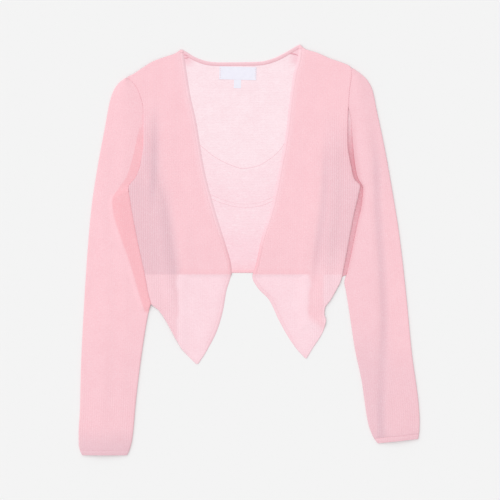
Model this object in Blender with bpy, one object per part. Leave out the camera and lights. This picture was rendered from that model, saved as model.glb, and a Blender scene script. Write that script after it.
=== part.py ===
"""Cropped open-front knit cardigan, laid flat on its back with its front upwards.

+X is to the right as seen from above, +Y points to the neck and the garment rests on Z = 0.
Left and right in the names are the wearer's, so the wearer's right side lies at -X.
The tables are in millimetres from the middle of the garment, and MM turns them into metres.
"""
from collections import namedtuple
from math import cos, hypot, inf, pi, radians, sin

import bmesh
import bpy
from mathutils import Matrix

MM = 0.001

# Thickness of the knit and the gaps between pieces
WALL = 1.2
GAP = 0.3
SEAM_GAP = 0.5
LAYER = WALL + GAP

# Ribs of the knit, raised on the outside of each front and sleeve
RIB_PITCH = 3.4
RIB_HEIGHT = 0.4
RIB_MARGIN = 1.6
PLAIN_PITCH = 12.0

# Folded edges of a sleeve and the softness of its middle
FOLD_NEAR = 0.6
FOLD_FAR = 2.0
FOLD_SHOULDER = 0.86
SLEEVE_EDGE_HEIGHT = 2 * WALL + GAP
SLEEVE_PUFF = 2.0
PUFF_POWER = 1.5
RAMP_SHARES = (0.45, 0.6)
CUFF_TILT_TOP = -180.0
CUFF_TILT_RUN = 100.0
EDGE_ROUNDING = 0.5
EDGE_WIDTH = 0.9

# Run over which a soft fold fades out, and the angle past which an edge is drawn sharp
FOLD_FADE = 45.0
SHARP_ANGLE = radians(40.0)

# Narrow bands, hems and labels
BAND_WIDTH = 6.0
BAND_HEIGHT = 2.2
BAND_END_GAP = 0.8
NECK_BAND_WIDTH = 5.5
HEM_WIDTH = 5.5
CUFF_HEM = 7.0
CUFF_GAP = 0.4
LABEL_SIZE = (60.0, 22.0, 1.0)
LABEL_CENTRE = (-18.0, 272.0)
LABEL_TURN = radians(-1.5)
TAB_SIZE = (11.0, 11.0, 0.8)
TAB_SHIFT = 1.0
NECK_STEPS = 26
NECK_INSET = 1.5

# Where an upper layer steps down past the edge of the layer below
STEP_CLEAR = 1.2
STEP_RUN = 6.0
ROW_CLEAR = 1.0

# Back panel: straight hem between two longer side parts
BACK_HEM_Y = -35.5
RIGHT_NOTCH_X = -108.0
LEFT_NOTCH_X = 92.0
RIGHT_TAIL_Y = -148.0
LEFT_TAIL_Y = -110.0
TAIL_INSET = 1.2
TAIL_JOIN = 1.0
SHOULDER_INSET = 1.0
SIDE_MARGIN = 4.0
LEFT_SEAM_ROWS = (236.0, 258.0, 270.0)

# Rounded section of a narrow band: shares of its width and of its height
BAND_SECTION = ((0.0, 0.35), (0.12, 0.8), (0.35, 1.0), (0.65, 1.0), (0.88, 0.8), (1.0, 0.35))

Point = namedtuple("Point", "key x y z")
Row = namedtuple("Row", "outer inner folds")
Fold = namedtuple("Fold", "path half_width lift top bottom")
Side = namedtuple(
    "Side",
    "name sign front_side front_edge sleeve_outer sleeve_inner back_edge"
    " shoulder_rows body_rows point_rows cap_rows arm_rows band_top band_end cuff_y cuff_slope"
    " underarm strip_top strip_bottom notch_x tail_y shoulder_y side_top side_end"
    " front_folds sleeve_folds",
)


def edge_slopes(positions, values):
    """Slopes at the points of a table that keep the curve from overshooting between them."""
    secants = [
        (values[i + 1] - values[i]) / (positions[i + 1] - positions[i])
        for i in range(len(positions) - 1)
    ]
    slopes = [secants[0]]
    for before, after in zip(secants, secants[1:]):
        slopes.append(2 * before * after / (before + after) if before * after > 0 else 0.0)
    slopes.append(secants[-1])
    return slopes


class Edge:
    """A smooth line through a short table of (position, value) rows."""

    def __init__(self, *rows):
        ordered = sorted(rows)
        self.positions = [row[0] for row in ordered]
        self.values = [row[1] for row in ordered]
        self.slopes = edge_slopes(self.positions, self.values)

    def __call__(self, position):
        i = 0
        while i < len(self.positions) - 2 and position > self.positions[i + 1]:
            i += 1
        run = self.positions[i + 1] - self.positions[i]
        t = (position - self.positions[i]) / run
        t = min(max(t, 0.0), 1.0)
        start = (1 + 2 * t) * (1 - t) ** 2 * self.values[i]
        end = t * t * (3 - 2 * t) * self.values[i + 1]
        bend_start = t * (1 - t) ** 2 * run * self.slopes[i]
        bend_end = t * t * (t - 1) * run * self.slopes[i + 1]
        return start + end + bend_start + bend_end

    def stretch(self, position, step=2.0):
        """How much longer the line is than its run along the table's positions."""
        return hypot(1.0, (self(position + step) - self(position - step)) / (2 * step))


# Outline of the wearer's right front, at -X: columns are the height y and the edge x
RIGHT_FRONT_SIDE = Edge(
    (312.5, -107.5),
    (308.5, -112.0),
    (303.5, -122.5),
    (298.5, -138.0),
    (292.0, -153.5),
    (282.0, -169.0),
    (272.0, -184.5),
    (267.5, -191.0),
    (260.5, -181.5),
    (248.0, -172.5),
    (217.0, -164.5),
    (170.5, -164.0),
    (133.0, -169.0),
    (114.5, -175.5),
    (96.0, -188.0),
    (77.5, -186.0),
    (40.0, -179.5),
    (-34.0, -164.0),
    (-82.0, -153.5),
    (-93.0, -142.5),
    (-108.5, -131.5),
    (-139.5, -114.5),
    (-155.0, -105.0),
    (-170.5, -90.5),
    (-177.5, -83.0),
)
RIGHT_FRONT_EDGE = Edge(
    (312.5, -102.5),
    (276.0, -97.0),
    (238.5, -91.0),
    (201.5, -82.5),
    (127.0, -70.0),
    (52.5, -50.5),
    (-3.0, -33.0),
    (-22.0, -28.0),
    (-34.0, -27.0),
    (-46.5, -29.5),
    (-62.0, -34.5),
    (-93.0, -40.0),
    (-124.0, -49.0),
    (-155.0, -64.5),
    (-177.5, -79.0),
)

# Outline of the wearer's left front, at +X
LEFT_FRONT_SIDE = Edge(
    (319.5, 80.5),
    (316.0, 84.5),
    (310.5, 94.5),
    (306.0, 110.0),
    (298.5, 125.5),
    (282.0, 160.0),
    (272.5, 158.5),
    (241.5, 155.0),
    (186.0, 152.5),
    (167.5, 152.5),
    (130.0, 158.0),
    (111.5, 162.5),
    (99.0, 172.0),
    (85.0, 169.5),
    (55.5, 162.5),
    (-18.5, 148.5),
    (-48.0, 142.0),
    (-62.0, 136.5),
    (-77.5, 128.0),
    (-90.0, 119.0),
    (-99.0, 118.0),
    (-108.5, 120.5),
    (-124.0, 117.0),
    (-155.0, 98.5),
    (-169.0, 90.0),
)
LEFT_FRONT_EDGE = Edge(
    (319.5, 78.0),
    (294.5, 75.0),
    (276.0, 69.5),
    (238.5, 63.5),
    (183.0, 57.0),
    (127.0, 47.0),
    (71.0, 35.5),
    (15.5, 18.5),
    (-22.0, 10.5),
    (-42.0, 5.0),
    (-59.0, 13.0),
    (-77.5, 30.5),
    (-108.5, 45.5),
    (-139.5, 63.0),
    (-155.0, 74.5),
    (-169.0, 87.5),
)

# Sleeves: the outer fold, and the line from the shoulder seam down the inner fold
RIGHT_SLEEVE_OUTER = Edge(
    (267.5, -192.5),
    (259.0, -203.5),
    (248.0, -211.0),
    (232.5, -216.5),
    (186.0, -225.5),
    (124.0, -237.0),
    (62.0, -246.0),
    (0.0, -251.5),
    (-93.0, -257.5),
    (-186.0, -262.0),
    (-248.0, -263.5),
    (-285.0, -265.5),
    (-300.0, -265.5),
    (-312.0, -263.0),
    (-319.5, -259.0),
)
RIGHT_SLEEVE_INNER = Edge(
    (-82.0, -153.5 - SEAM_GAP),
    (-97.0, -154.5),
    (-124.0, -159.5),
    (-170.5, -166.5),
    (-232.5, -174.0),
    (-294.5, -180.0),
    (-310.0, -184.0),
    (-319.5, -188.5),
)
LEFT_SLEEVE_OUTER = Edge(
    (282.0, 162.0),
    (276.0, 171.5),
    (263.5, 184.5),
    (248.0, 192.5),
    (217.0, 199.0),
    (155.0, 212.0),
    (93.0, 223.0),
    (31.0, 233.0),
    (-62.0, 244.0),
    (-155.0, 253.0),
    (-248.0, 264.5),
    (-270.0, 265.5),
    (-285.0, 265.0),
    (-297.8, 263.0),
)
LEFT_SLEEVE_INNER = Edge(
    (223.0, 154.0 + SEAM_GAP),
    (204.5, 158.0),
    (167.5, 160.5),
    (130.0, 164.5),
    (112.0, 168.5),
    (96.0, 176.5),
    (74.5, 175.0),
    (37.0, 167.0),
    (0.0, 159.5),
    (-37.5, 151.0),
    (-50.0, 147.5),
    (-62.0, 148.5),
    (-93.0, 153.5),
    (-155.0, 163.0),
    (-201.5, 173.0),
    (-263.5, 183.0),
    (-285.0, 190.5),
    (-297.8, 199.0),
)

# Side edges of the back panel: at -X a strip of it lies under the sleeve below the underarm
RIGHT_BACK_EDGE = Edge(
    (266.0, -186.0),
    (258.0, -177.5),
    (248.0, -170.5),
    (217.0, -163.5),
    (170.5, -163.0),
    (133.0, -168.0),
    (114.5, -174.5),
    (98.0, -184.5),
    (94.0, -188.0),
    (77.5, -211.0),
    (59.0, -210.0),
    (21.5, -199.5),
    (-15.5, -186.0),
    (-56.0, -174.0),
    (-77.5, -167.5),
    (-88.0, -163.0),
)
NECK_LINE = Edge(
    (-99.0, 308.5),
    (-84.0, 300.5),
    (-60.5, 293.5),
    (-45.0, 292.5),
    (1.5, 293.0),
    (17.0, 293.7),
    (32.5, 297.0),
    (63.5, 311.5),
    (75.0, 317.5),
)

# Rows at which the panels are drawn, shared where a sleeve meets the body
BODY_ROWS = [
    248.0, 223.0, 205.0, 165.0, 133.0, 112.0, 96.0, 88.0, 77.5, 59.0,
    30.0, 0.0, BACK_HEM_Y - STEP_CLEAR, BACK_HEM_Y - STEP_CLEAR - STEP_RUN, -62.0,
]

# Creases of the fronts and sleeves: soft ridges stand beside them
RIGHT_CREASE = Edge(
    (263.0, -143.0),
    (139.0, -143.0),
    (65.0, -129.0),
    (-34.0, -110.0),
    (-140.0, -105.0),
)
LEFT_CREASE = Edge(
    (263.0, 112.0),
    (170.0, 114.5),
    (77.0, 110.0),
    (-10.0, 97.0),
    (-116.0, 91.0),
)
RIGHT_SLEEVE_CREASE = Edge(
    (200.0, -200.0),
    (60.0, -214.0),
    (-80.0, -205.0),
    (-300.0, -215.0),
)
LEFT_SLEEVE_CREASE = Edge(
    (200.0, 190.0),
    (124.0, 195.0),
    (0.0, 204.5),
    (-155.0, 209.0),
    (-295.0, 205.0),
)


def beside(crease, offset):
    """A line that runs along a crease, moved sideways."""
    return Edge(*[(y, x + offset) for y, x in zip(crease.positions, crease.values)])


SIDES = (
    Side(
        name="right",
        sign=-1,
        front_side=RIGHT_FRONT_SIDE,
        front_edge=RIGHT_FRONT_EDGE,
        sleeve_outer=RIGHT_SLEEVE_OUTER,
        sleeve_inner=RIGHT_SLEEVE_INNER,
        back_edge=RIGHT_BACK_EDGE,
        shoulder_rows=[311.5, 307.0, 306.3, 303.5, 292.0, 280.0, 266.5, 258.0],
        body_rows=BODY_ROWS,
        point_rows=[-82.0, -93.0, -108.5, -125.0, -140.0, -149.5, -155.5, -165.4, -166.1, -176.5],
        cap_rows=[265.0, 258.0],
        arm_rows=[-82.0, -90.0, -97.0, -140.0, -210.0, -280.0, -300.0, -312.0],
        band_top=306.6,
        band_end=-165.7,
        cuff_y=-312.0,
        cuff_slope=0.0,
        underarm=88.0,
        strip_top=97.0,
        strip_bottom=-90.5,
        notch_x=RIGHT_NOTCH_X,
        tail_y=RIGHT_TAIL_Y,
        shoulder_y=268.0,
        side_top=267.0,
        side_end=-84.0,
        front_folds=(
            Fold(beside(RIGHT_CREASE, -13.0), 14.0, 1.5, 262.0, -110.0),
            Fold(beside(RIGHT_CREASE, 16.0), 20.0, 1.0, 262.0, -150.0),
        ),
        sleeve_folds=(
            Fold(RIGHT_SLEEVE_CREASE, 16.0, -0.7, 190.0, -290.0),
        ),
    ),
    Side(
        name="left",
        sign=1,
        front_side=LEFT_FRONT_SIDE,
        front_edge=LEFT_FRONT_EDGE,
        sleeve_outer=LEFT_SLEEVE_OUTER,
        sleeve_inner=LEFT_SLEEVE_INNER,
        back_edge=LEFT_SLEEVE_INNER,
        shoulder_rows=[319.2, 313.2, 312.5, 310.5, 303.0, 292.0, 280.0, 270.0, 258.0],
        body_rows=BODY_ROWS,
        point_rows=[-77.5, -90.0, -99.0, -111.5, -117.5, -140.0, -154.4, -155.1, -168.0],
        cap_rows=[280.0, 270.0, 258.0],
        arm_rows=[-80.0, -130.0, -200.0, -262.0, -284.0, -290.5],
        band_top=312.8,
        band_end=-154.7,
        cuff_y=-290.5,
        cuff_slope=0.106,
        underarm=96.0,
        strip_top=-inf,
        strip_bottom=-inf,
        notch_x=LEFT_NOTCH_X,
        tail_y=LEFT_TAIL_Y,
        shoulder_y=282.0,
        side_top=225.0,
        side_end=-48.0,
        front_folds=(
            Fold(beside(LEFT_CREASE, 15.0), 16.0, 1.4, 262.0, -90.0),
            Fold(beside(LEFT_CREASE, -15.0), 18.0, 0.9, 262.0, -120.0),
        ),
        sleeve_folds=(
            Fold(LEFT_SLEEVE_CREASE, 13.0, -1.2, 215.0, -290.0),
        ),
    ),
)


def clear_scene():
    """Start from an empty scene."""
    for item in list(bpy.data.objects):
        bpy.data.objects.remove(item, do_unlink=True)


def make_collection(name):
    """A collection for the pieces of the garment."""
    collection = bpy.data.collections.new(name)
    bpy.context.scene.collection.children.link(collection)
    return collection


def make_material(name, colour, roughness):
    """A plain cloth material."""
    material = bpy.data.materials.new(name)
    material.use_nodes = True
    shader = material.node_tree.nodes["Principled BSDF"]
    shader.inputs["Base Color"].default_value = (*colour, 1.0)
    shader.inputs["Roughness"].default_value = roughness
    shader.inputs["Metallic"].default_value = 0.0
    material.diffuse_color = (*colour, 1.0)
    return material


def add_chain(bm, points):
    """Make the vertices of one line of points, each kept with its key."""
    return [(p.key, bm.verts.new((p.x * MM, p.y * MM, p.z * MM))) for p in points]


def fill_between(bm, first, second):
    """Fill between two lines of vertices, stepping along the one whose next key is nearer."""
    i = 0
    j = 0
    while i < len(first) - 1 or j < len(second) - 1:
        next_first = first[i + 1][0] if i < len(first) - 1 else inf
        next_second = second[j + 1][0] if j < len(second) - 1 else inf
        if abs(next_first - next_second) < 1e-6:
            bm.faces.new((first[i][1], first[i + 1][1], second[j + 1][1], second[j][1]))
            i += 1
            j += 1
        elif next_first < next_second:
            bm.faces.new((first[i][1], first[i + 1][1], second[j][1]))
            i += 1
        else:
            bm.faces.new((first[i][1], second[j + 1][1], second[j][1]))
            j += 1


def ring_ends(row):
    """The outer and inner end vertices of a row, as (start, end) pairs."""
    return (
        (row.outer[0][1], row.inner[0][1]),
        (row.outer[-1][1], row.inner[-1][1]),
    )


def close_fold(bm, row):
    """Fill the wall's thickness across the fold that joins the two ends of a row."""
    fold_outer = row.folds[0][1]
    fold_inner = row.folds[1][1]
    for end_outer, end_inner in ring_ends(row):
        bm.faces.new((end_outer, fold_outer, fold_inner, end_inner))


def join_row_ends(bm, above, below):
    """Join two rows at their ends, by a folded edge or by the thickness of a cut edge."""
    if above.folds and below.folds:
        for skin in (0, 1):
            for end in (0, 1):
                top = ring_ends(above)[end][skin]
                bottom = ring_ends(below)[end][skin]
                bm.faces.new((top, above.folds[skin][1], below.folds[skin][1], bottom))
        return
    for (top_outer, top_inner), (low_outer, low_inner) in zip(ring_ends(above), ring_ends(below)):
        bm.faces.new((top_outer, top_inner, low_inner, low_outer))
    if below.folds:
        close_fold(bm, below)


def cap_row(bm, row):
    """Fill the thickness of the wall along its first or last row."""
    fill_between(bm, row.outer, row.inner)
    if row.folds:
        close_fold(bm, row)


def build_wall(name, rows, material, collection):
    """Build a closed wall of cloth from rows that hold its outer and inner points."""
    bm = bmesh.new()
    laid = [Row(*(add_chain(bm, points) for points in row)) for row in rows]
    for above, below in zip(laid, laid[1:]):
        fill_between(bm, above.outer, below.outer)
        fill_between(bm, above.inner, below.inner)
        join_row_ends(bm, above, below)
    cap_row(bm, laid[0])
    cap_row(bm, laid[-1])
    bmesh.ops.recalc_face_normals(bm, faces=bm.faces)
    mesh = bpy.data.meshes.new(name)
    bm.to_mesh(mesh)
    bm.free()
    mesh.shade_smooth()
    mesh.set_sharp_from_angle(angle=SHARP_ANGLE)
    return add_piece(name, mesh, material, collection)


def add_piece(name, data, material, collection):
    """Add one named piece of the garment."""
    piece = bpy.data.objects.new(name, data)
    piece.data.materials.append(material)
    collection.objects.link(piece)
    return piece


def ease(t):
    """A smooth step from 0 to 1."""
    t = min(max(t, 0.0), 1.0)
    return t * t * (3 - 2 * t)


def fold_lift(folds, x, y):
    """Height that the soft folds add to the cloth at a place."""
    lift = 0.0
    for fold in folds:
        across = (x - fold.path(y)) / fold.half_width
        if abs(across) < 1:
            along = ease((fold.top - y) / FOLD_FADE) * ease((y - fold.bottom) / FOLD_FADE)
            lift += fold.lift * (1 - across * across) ** 2 * along
    return lift


def rib_height(distance):
    """Height of the ribs at a distance across them: crests and valleys in turn."""
    turn = (distance / RIB_PITCH) % 1.0
    return RIB_HEIGHT * (1 - abs(2 * turn - 1))


def step_down(distance):
    """Height left of one layer's step, at a distance past the edge of the layer below."""
    return LAYER * min(max(1 - (distance - STEP_CLEAR) / STEP_RUN, 0.0), 1.0)


def front_base(side, x, y):
    """Height of a front's underside: it lies on the back panel and steps down past it."""
    past_hem = BACK_HEM_Y - y
    past_notch = side.sign * (side.notch_x - x)
    past_tail = side.tail_y - y
    return max(step_down(past_hem), min(step_down(past_notch), step_down(past_tail)))


def steps_across(low, high, pitch):
    """Multiples of a pitch that lie between two values, clear of both."""
    first = int(low / pitch) - 1
    count = int((high - low) / pitch) + 4
    places = [(first + i) * pitch for i in range(count)]
    return [p for p in places if low + RIB_MARGIN < p < high - RIB_MARGIN]


def band_reach(side, y):
    """Width across a row of the band along a front's edge."""
    return BAND_WIDTH * side.front_edge.stretch(y)


def panel_edge(side, y):
    """The edge of a front's panel, which stops beside its band and goes past the band's ends."""
    if y < side.band_end or y > side.band_top:
        return side.front_edge(y)
    return side.front_edge(y) + side.sign * (band_reach(side, y) + SEAM_GAP)


def front_row(side, y):
    """One row across a front: ribbed above, plain below."""
    low, high = sorted((side.front_side(y), panel_edge(side, y)))
    step_lines = [side.notch_x - side.sign * d for d in (STEP_CLEAR, STEP_CLEAR + STEP_RUN)]
    steps = [x for x in step_lines if low + RIB_MARGIN < x < high - RIB_MARGIN]
    ribbed = sorted(steps_across(low, high, RIB_PITCH / 2) + steps)
    plain = sorted(steps_across(low, high, PLAIN_PITCH) + steps)

    def upper(x, drop):
        z = front_base(side, x, y) + fold_lift(side.front_folds, x, y) + WALL
        return Point(x, x, y, z + rib_height(x) - drop)

    def lower(x):
        return Point(x, x, y, front_base(side, x, y) + fold_lift(side.front_folds, x, y))

    width = min(EDGE_WIDTH, (high - low) / 4)
    outer = [upper(low, EDGE_ROUNDING), upper(low + width, 0.0)]
    outer += [upper(x, 0.0) for x in ribbed]
    outer += [upper(high - width, 0.0), upper(high, EDGE_ROUNDING)]
    inner = [lower(x) for x in [low] + plain + [high]]
    return Row(outer, inner, ())


def build_front(side, material, collection):
    """One front, from the shoulder seam down to its point."""
    heights = side.shoulder_rows + side.body_rows + side.point_rows
    rows = [front_row(side, y) for y in heights]
    return build_wall(side.name + "_front", rows, material, collection)


def front_band_row(side, y):
    """One row across the band of a front."""
    edge = side.front_edge(y)
    reach = band_reach(side, y)
    low = min(edge, edge + side.sign * reach)
    base = front_base(side, edge + side.sign * reach / 2, y)
    outer = [
        Point(low + share * reach, low + share * reach, y, base + height * BAND_HEIGHT)
        for share, height in BAND_SECTION
    ]
    inner = [Point(x, x, y, base) for x in (low, low + reach)]
    return Row(outer, inner, ())


def build_front_band(side, material, collection):
    """The narrow rolled band from the neck down a front's edge to its point."""
    top = side.band_top - BAND_END_GAP
    end = side.band_end + BAND_END_GAP
    shared = side.shoulder_rows + side.body_rows + side.point_rows
    between = [y for y in shared if end + ROW_CLEAR < y < top - ROW_CLEAR]
    heights = [top] + between + [end]
    rows = [front_band_row(side, y) for y in heights]
    return build_wall(side.name + "_front_band", rows, material, collection)


def sleeve_inner_edge(side, y):
    """The inner edge of a sleeve: beside the front's seam, then its own fold."""
    if y > side.sleeve_inner.positions[-1]:
        return side.front_side(y) + side.sign * SEAM_GAP
    return side.sleeve_inner(y)


def sleeve_row(side, y, is_folded):
    """One row round a sleeve, from its inner edge over the outer fold and back below."""
    outer_x = side.sleeve_outer(y)
    inner_x = sleeve_inner_edge(side, y)
    width = abs(outer_x - inner_x)
    middle_x = (outer_x + inner_x) / 2
    tilt = side.cuff_slope * ease((CUFF_TILT_TOP - y) / CUFF_TILT_RUN)
    on_strip = side.strip_bottom < y < side.strip_top
    if on_strip:
        strip = min(abs(side.back_edge(y) - outer_x), width - ROW_CLEAR)
        ramp = (strip - STEP_CLEAR - STEP_RUN, strip - STEP_CLEAR)
    else:
        ramp = (RAMP_SHARES[0] * width, RAMP_SHARES[1] * width)

    def place(key, distance, z):
        x = outer_x - side.sign * distance
        return Point(key, x, y + tilt * (x - middle_x), z)

    def base(distance):
        if not on_strip:
            return 0.0
        return LAYER * min(max((distance - ramp[0]) / (ramp[1] - ramp[0]), 0.0), 1.0)

    def top(distance):
        x = outer_x - side.sign * distance
        puff = SLEEVE_PUFF * sin(pi * min(max(distance / width, 0.0), 1.0)) ** PUFF_POWER
        puff += fold_lift(side.sleeve_folds, x, y)
        return base(distance) + SLEEVE_EDGE_HEIGHT + max(puff, 0.0)

    near = FOLD_NEAR if is_folded else 0.0
    shoulder = FOLD_SHOULDER if is_folded else 1.0
    end = width - near
    ribs = steps_across(FOLD_FAR - RIB_MARGIN, width - FOLD_FAR + RIB_MARGIN, RIB_PITCH / 2)
    outer = [place(-end, end, base(end) + SLEEVE_EDGE_HEIGHT * shoulder)]
    outer += [place(-d, d, top(d) + rib_height(d)) for d in reversed(ribs)]
    outer.append(place(-FOLD_NEAR, FOLD_NEAR, SLEEVE_EDGE_HEIGHT * FOLD_SHOULDER))
    outer.append(place(0.0, 0.0, SLEEVE_EDGE_HEIGHT / 2))
    below = [FOLD_NEAR, FOLD_FAR, ramp[0], ramp[1], width - FOLD_FAR, end]
    lifts = [SLEEVE_EDGE_HEIGHT * (1 - FOLD_SHOULDER), 0.0, 0.0, 0.0, 0.0, 0.0]
    lifts[-1] = lifts[0] if is_folded else 0.0
    outer += [place(i + 1, d, base(d) + up) for i, (d, up) in enumerate(zip(below, lifts))]

    inside_end = width - FOLD_FAR if is_folded else width
    halfway = (ramp[0] + FOLD_FAR) / 2
    inside = [FOLD_FAR, halfway, ramp[0], ramp[1], inside_end]
    inner = [place(-d, d, top(d) - WALL) for d in reversed(inside)]
    inner.append(place(0.0, WALL, SLEEVE_EDGE_HEIGHT / 2))
    inner += [place(i + 1, d, base(d) + WALL) for i, d in enumerate(inside)]
    folds = ()
    if is_folded:
        centre = base(width) + SLEEVE_EDGE_HEIGHT / 2
        folds = (place(0.0, width, centre), place(0.0, width - WALL, centre))
    return Row(outer, inner, folds)


def build_sleeve(side, material, collection):
    """A sleeve pressed flat: open at the armhole and at the cuff."""
    heights = side.cap_rows + side.body_rows + side.arm_rows
    rows = [sleeve_row(side, y, y <= side.underarm) for y in heights]
    return build_wall(side.name + "_sleeve", rows, material, collection)


def build_cuff_hem(side, material, collection):
    """The narrow turned hem below a sleeve."""
    top = side.cuff_y - CUFF_GAP
    heights = [top, top - CUFF_HEM / 2, top - CUFF_HEM]
    rows = [sleeve_row(side, y, True) for y in heights]
    return build_wall(side.name + "_cuff_hem", rows, material, collection)


def neck_drop(x):
    """Height across a row of the neck band."""
    return NECK_BAND_WIDTH * NECK_LINE.stretch(x)


def build_neck_band(material, collection):
    """The band along the back neck, its rows running from the right front to the left."""
    left = NECK_LINE.positions[0]
    right = NECK_LINE.positions[-1]
    rows = []
    for i in range(NECK_STEPS + 1):
        x = left + (right - left) * i / NECK_STEPS
        drop = neck_drop(x)
        low = NECK_LINE(x) - drop
        outer = [
            Point(low + share * drop, x, low + share * drop, height * BAND_HEIGHT)
            for share, height in BAND_SECTION
        ]
        inner = [Point(y, x, y, 0.0) for y in (low, low + drop)]
        rows.append(Row(outer, inner, ()))
    return build_wall("back_neck_band", rows, material, collection)


def shoulder_points(side):
    """The shoulder edge of the back panel, from the armhole up to the neck."""
    line = side.front_side
    return [
        (x - side.sign * SHOULDER_INSET, y - SHOULDER_INSET)
        for y, x in zip(line.positions, line.values)
        if y >= side.shoulder_y
    ]


def side_heights(side, table):
    """Heights of the points down the side edge of the back panel, from the lowest up."""
    within = {y for y in table if side.side_end + SIDE_MARGIN < y < side.side_top}
    return sorted(within | {side.side_end})


def armhole_and_side(side):
    """The side edge of the back panel, from the underarm strip up to the shoulder."""
    if side.sign < 0:
        table = side.back_edge.positions + side.body_rows
        return [(side.back_edge(y), y) for y in side_heights(side, table)]
    table = side.arm_rows + side.body_rows
    lower = [(side.sleeve_inner(y) - SEAM_GAP, y) for y in side_heights(side, table)]
    seam = [(side.front_side(y) - SEAM_GAP, y) for y in LEFT_SEAM_ROWS]
    return lower + seam


def tail_points(side):
    """The lower side part of the back panel, from its notch out and up to the side."""
    stop_y = side.side_end - TAIL_JOIN
    inner = [(side.notch_x, BACK_HEM_Y), (side.notch_x, side.tail_y + TAIL_JOIN)]
    between = [y for y in side.front_side.positions if side.tail_y < y < stop_y]
    heights = [side.tail_y] + between
    reach = [(side.front_side(y) - side.sign * TAIL_INSET, y) for y in heights]
    corner = [(side.front_side(stop_y) - side.sign * TAIL_INSET / 2, stop_y)]
    return inner + reach + corner


def neck_points():
    """The neck edge of the back panel, just below its band, from left to right."""
    start = NECK_LINE.positions[0] - NECK_INSET
    end = NECK_LINE.positions[-1] + NECK_INSET
    points = []
    for i in range(NECK_STEPS + 1):
        x = start + (end - start) * i / NECK_STEPS
        points.append((x, NECK_LINE(x) - neck_drop(x) - SEAM_GAP))
    return points


def build_back(material, collection):
    """The back panel: one flat layer of knit with a straight hem and two longer sides."""
    right, left = SIDES
    hem_top = BACK_HEM_Y + HEM_WIDTH + SEAM_GAP
    outline = list(reversed(neck_points()))
    outline += list(reversed(shoulder_points(right)))
    outline += list(reversed(armhole_and_side(right)))
    outline += list(reversed(tail_points(right)))
    outline += [(right.notch_x, hem_top), (left.notch_x, hem_top)]
    outline += tail_points(left)
    outline += armhole_and_side(left)
    outline += shoulder_points(left)
    curve = bpy.data.curves.new("back_panel", "CURVE")
    curve.dimensions = "2D"
    curve.fill_mode = "BOTH"
    curve.extrude = WALL / 2 * MM
    spline = curve.splines.new("POLY")
    spline.points.add(len(outline) - 1)
    for point, (x, y) in zip(spline.points, outline):
        point.co = (x * MM, y * MM, 0.0, 1.0)
    spline.use_cyclic_u = True
    panel = add_piece("back_panel", curve, material, collection)
    panel.location.z = WALL / 2 * MM
    return panel


def build_block(name, centre, size, base, turn, material, collection):
    """A flat rectangular piece, such as a label."""
    bpy.ops.mesh.primitive_cube_add(size=1.0)
    piece = bpy.context.active_object
    piece.name = name
    piece.data.name = name
    piece.data.transform(Matrix.Diagonal((size[0] * MM, size[1] * MM, size[2] * MM, 1.0)))
    piece.location = (centre[0] * MM, centre[1] * MM, (base + size[2] / 2) * MM)
    piece.rotation_euler.z = turn
    piece.data.materials.append(material)
    for owner in list(piece.users_collection):
        owner.objects.unlink(piece)
    collection.objects.link(piece)
    return piece


def build_back_hem(material, collection):
    """The narrow hem of the back, between its two longer sides."""
    right, left = SIDES
    length = left.notch_x - right.notch_x - 2 * SEAM_GAP
    centre = ((left.notch_x + right.notch_x) / 2, BACK_HEM_Y + HEM_WIDTH / 2)
    size = (length, HEM_WIDTH, WALL)
    return build_block("back_hem", centre, size, 0.0, 0.0, material, collection)


def build_labels(material, collection):
    """A blank woven label inside the back neck, with a small blank tab under it."""
    build_block("neck_label", LABEL_CENTRE, LABEL_SIZE, LAYER, LABEL_TURN, material, collection)
    drop = LABEL_SIZE[1] / 2 * cos(LABEL_TURN) + TAB_SIZE[1] / 2 + SEAM_GAP
    tab_centre = (LABEL_CENTRE[0] + TAB_SHIFT, LABEL_CENTRE[1] - drop)
    build_block("size_tab", tab_centre, TAB_SIZE, LAYER, LABEL_TURN, material, collection)


def build_cardigan():
    """Build every piece of the cardigan."""
    clear_scene()
    collection = make_collection("shawl_cardigan")
    knit = make_material("pink_knit", (0.95, 0.60, 0.66), 0.9)
    inside = make_material("pink_knit_inside", (0.98, 0.75, 0.80), 0.9)
    band = make_material("pink_band", (0.90, 0.50, 0.57), 0.9)
    label = make_material("white_label", (0.84, 0.81, 0.86), 0.7)
    build_back(inside, collection)
    build_back_hem(band, collection)
    build_neck_band(band, collection)
    for side in SIDES:
        build_front(side, knit, collection)
        build_front_band(side, band, collection)
        build_sleeve(side, knit, collection)
        build_cuff_hem(side, band, collection)
    build_labels(label, collection)


build_cardigan()
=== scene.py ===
"""Looks of a cropped open-front knit cardigan, laid flat on its back and seen from above.

The tables are in millimetres in the frame's own directions: +X to the right as seen from
above, +Y to the neck, +Z up from the floor. Left and right in the names are the wearer's.
"""
from bisect import bisect_left
from collections import namedtuple
from math import atan2, cos, hypot, inf, pi, radians, sin, sqrt
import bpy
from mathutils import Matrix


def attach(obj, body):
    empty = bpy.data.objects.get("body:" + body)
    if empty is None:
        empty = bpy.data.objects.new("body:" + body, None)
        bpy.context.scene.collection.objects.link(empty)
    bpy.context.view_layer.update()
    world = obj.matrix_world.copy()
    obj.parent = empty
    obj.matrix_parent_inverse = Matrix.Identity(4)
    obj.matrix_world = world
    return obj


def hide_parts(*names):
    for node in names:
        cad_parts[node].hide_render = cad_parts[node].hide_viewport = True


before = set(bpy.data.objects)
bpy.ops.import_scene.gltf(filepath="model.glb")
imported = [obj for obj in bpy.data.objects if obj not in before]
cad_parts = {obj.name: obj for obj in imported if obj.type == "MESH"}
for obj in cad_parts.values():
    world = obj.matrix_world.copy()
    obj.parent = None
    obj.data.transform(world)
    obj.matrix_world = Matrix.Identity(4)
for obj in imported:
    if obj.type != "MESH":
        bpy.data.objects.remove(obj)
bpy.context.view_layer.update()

from types import SimpleNamespace

import bmesh
import bpy

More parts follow.
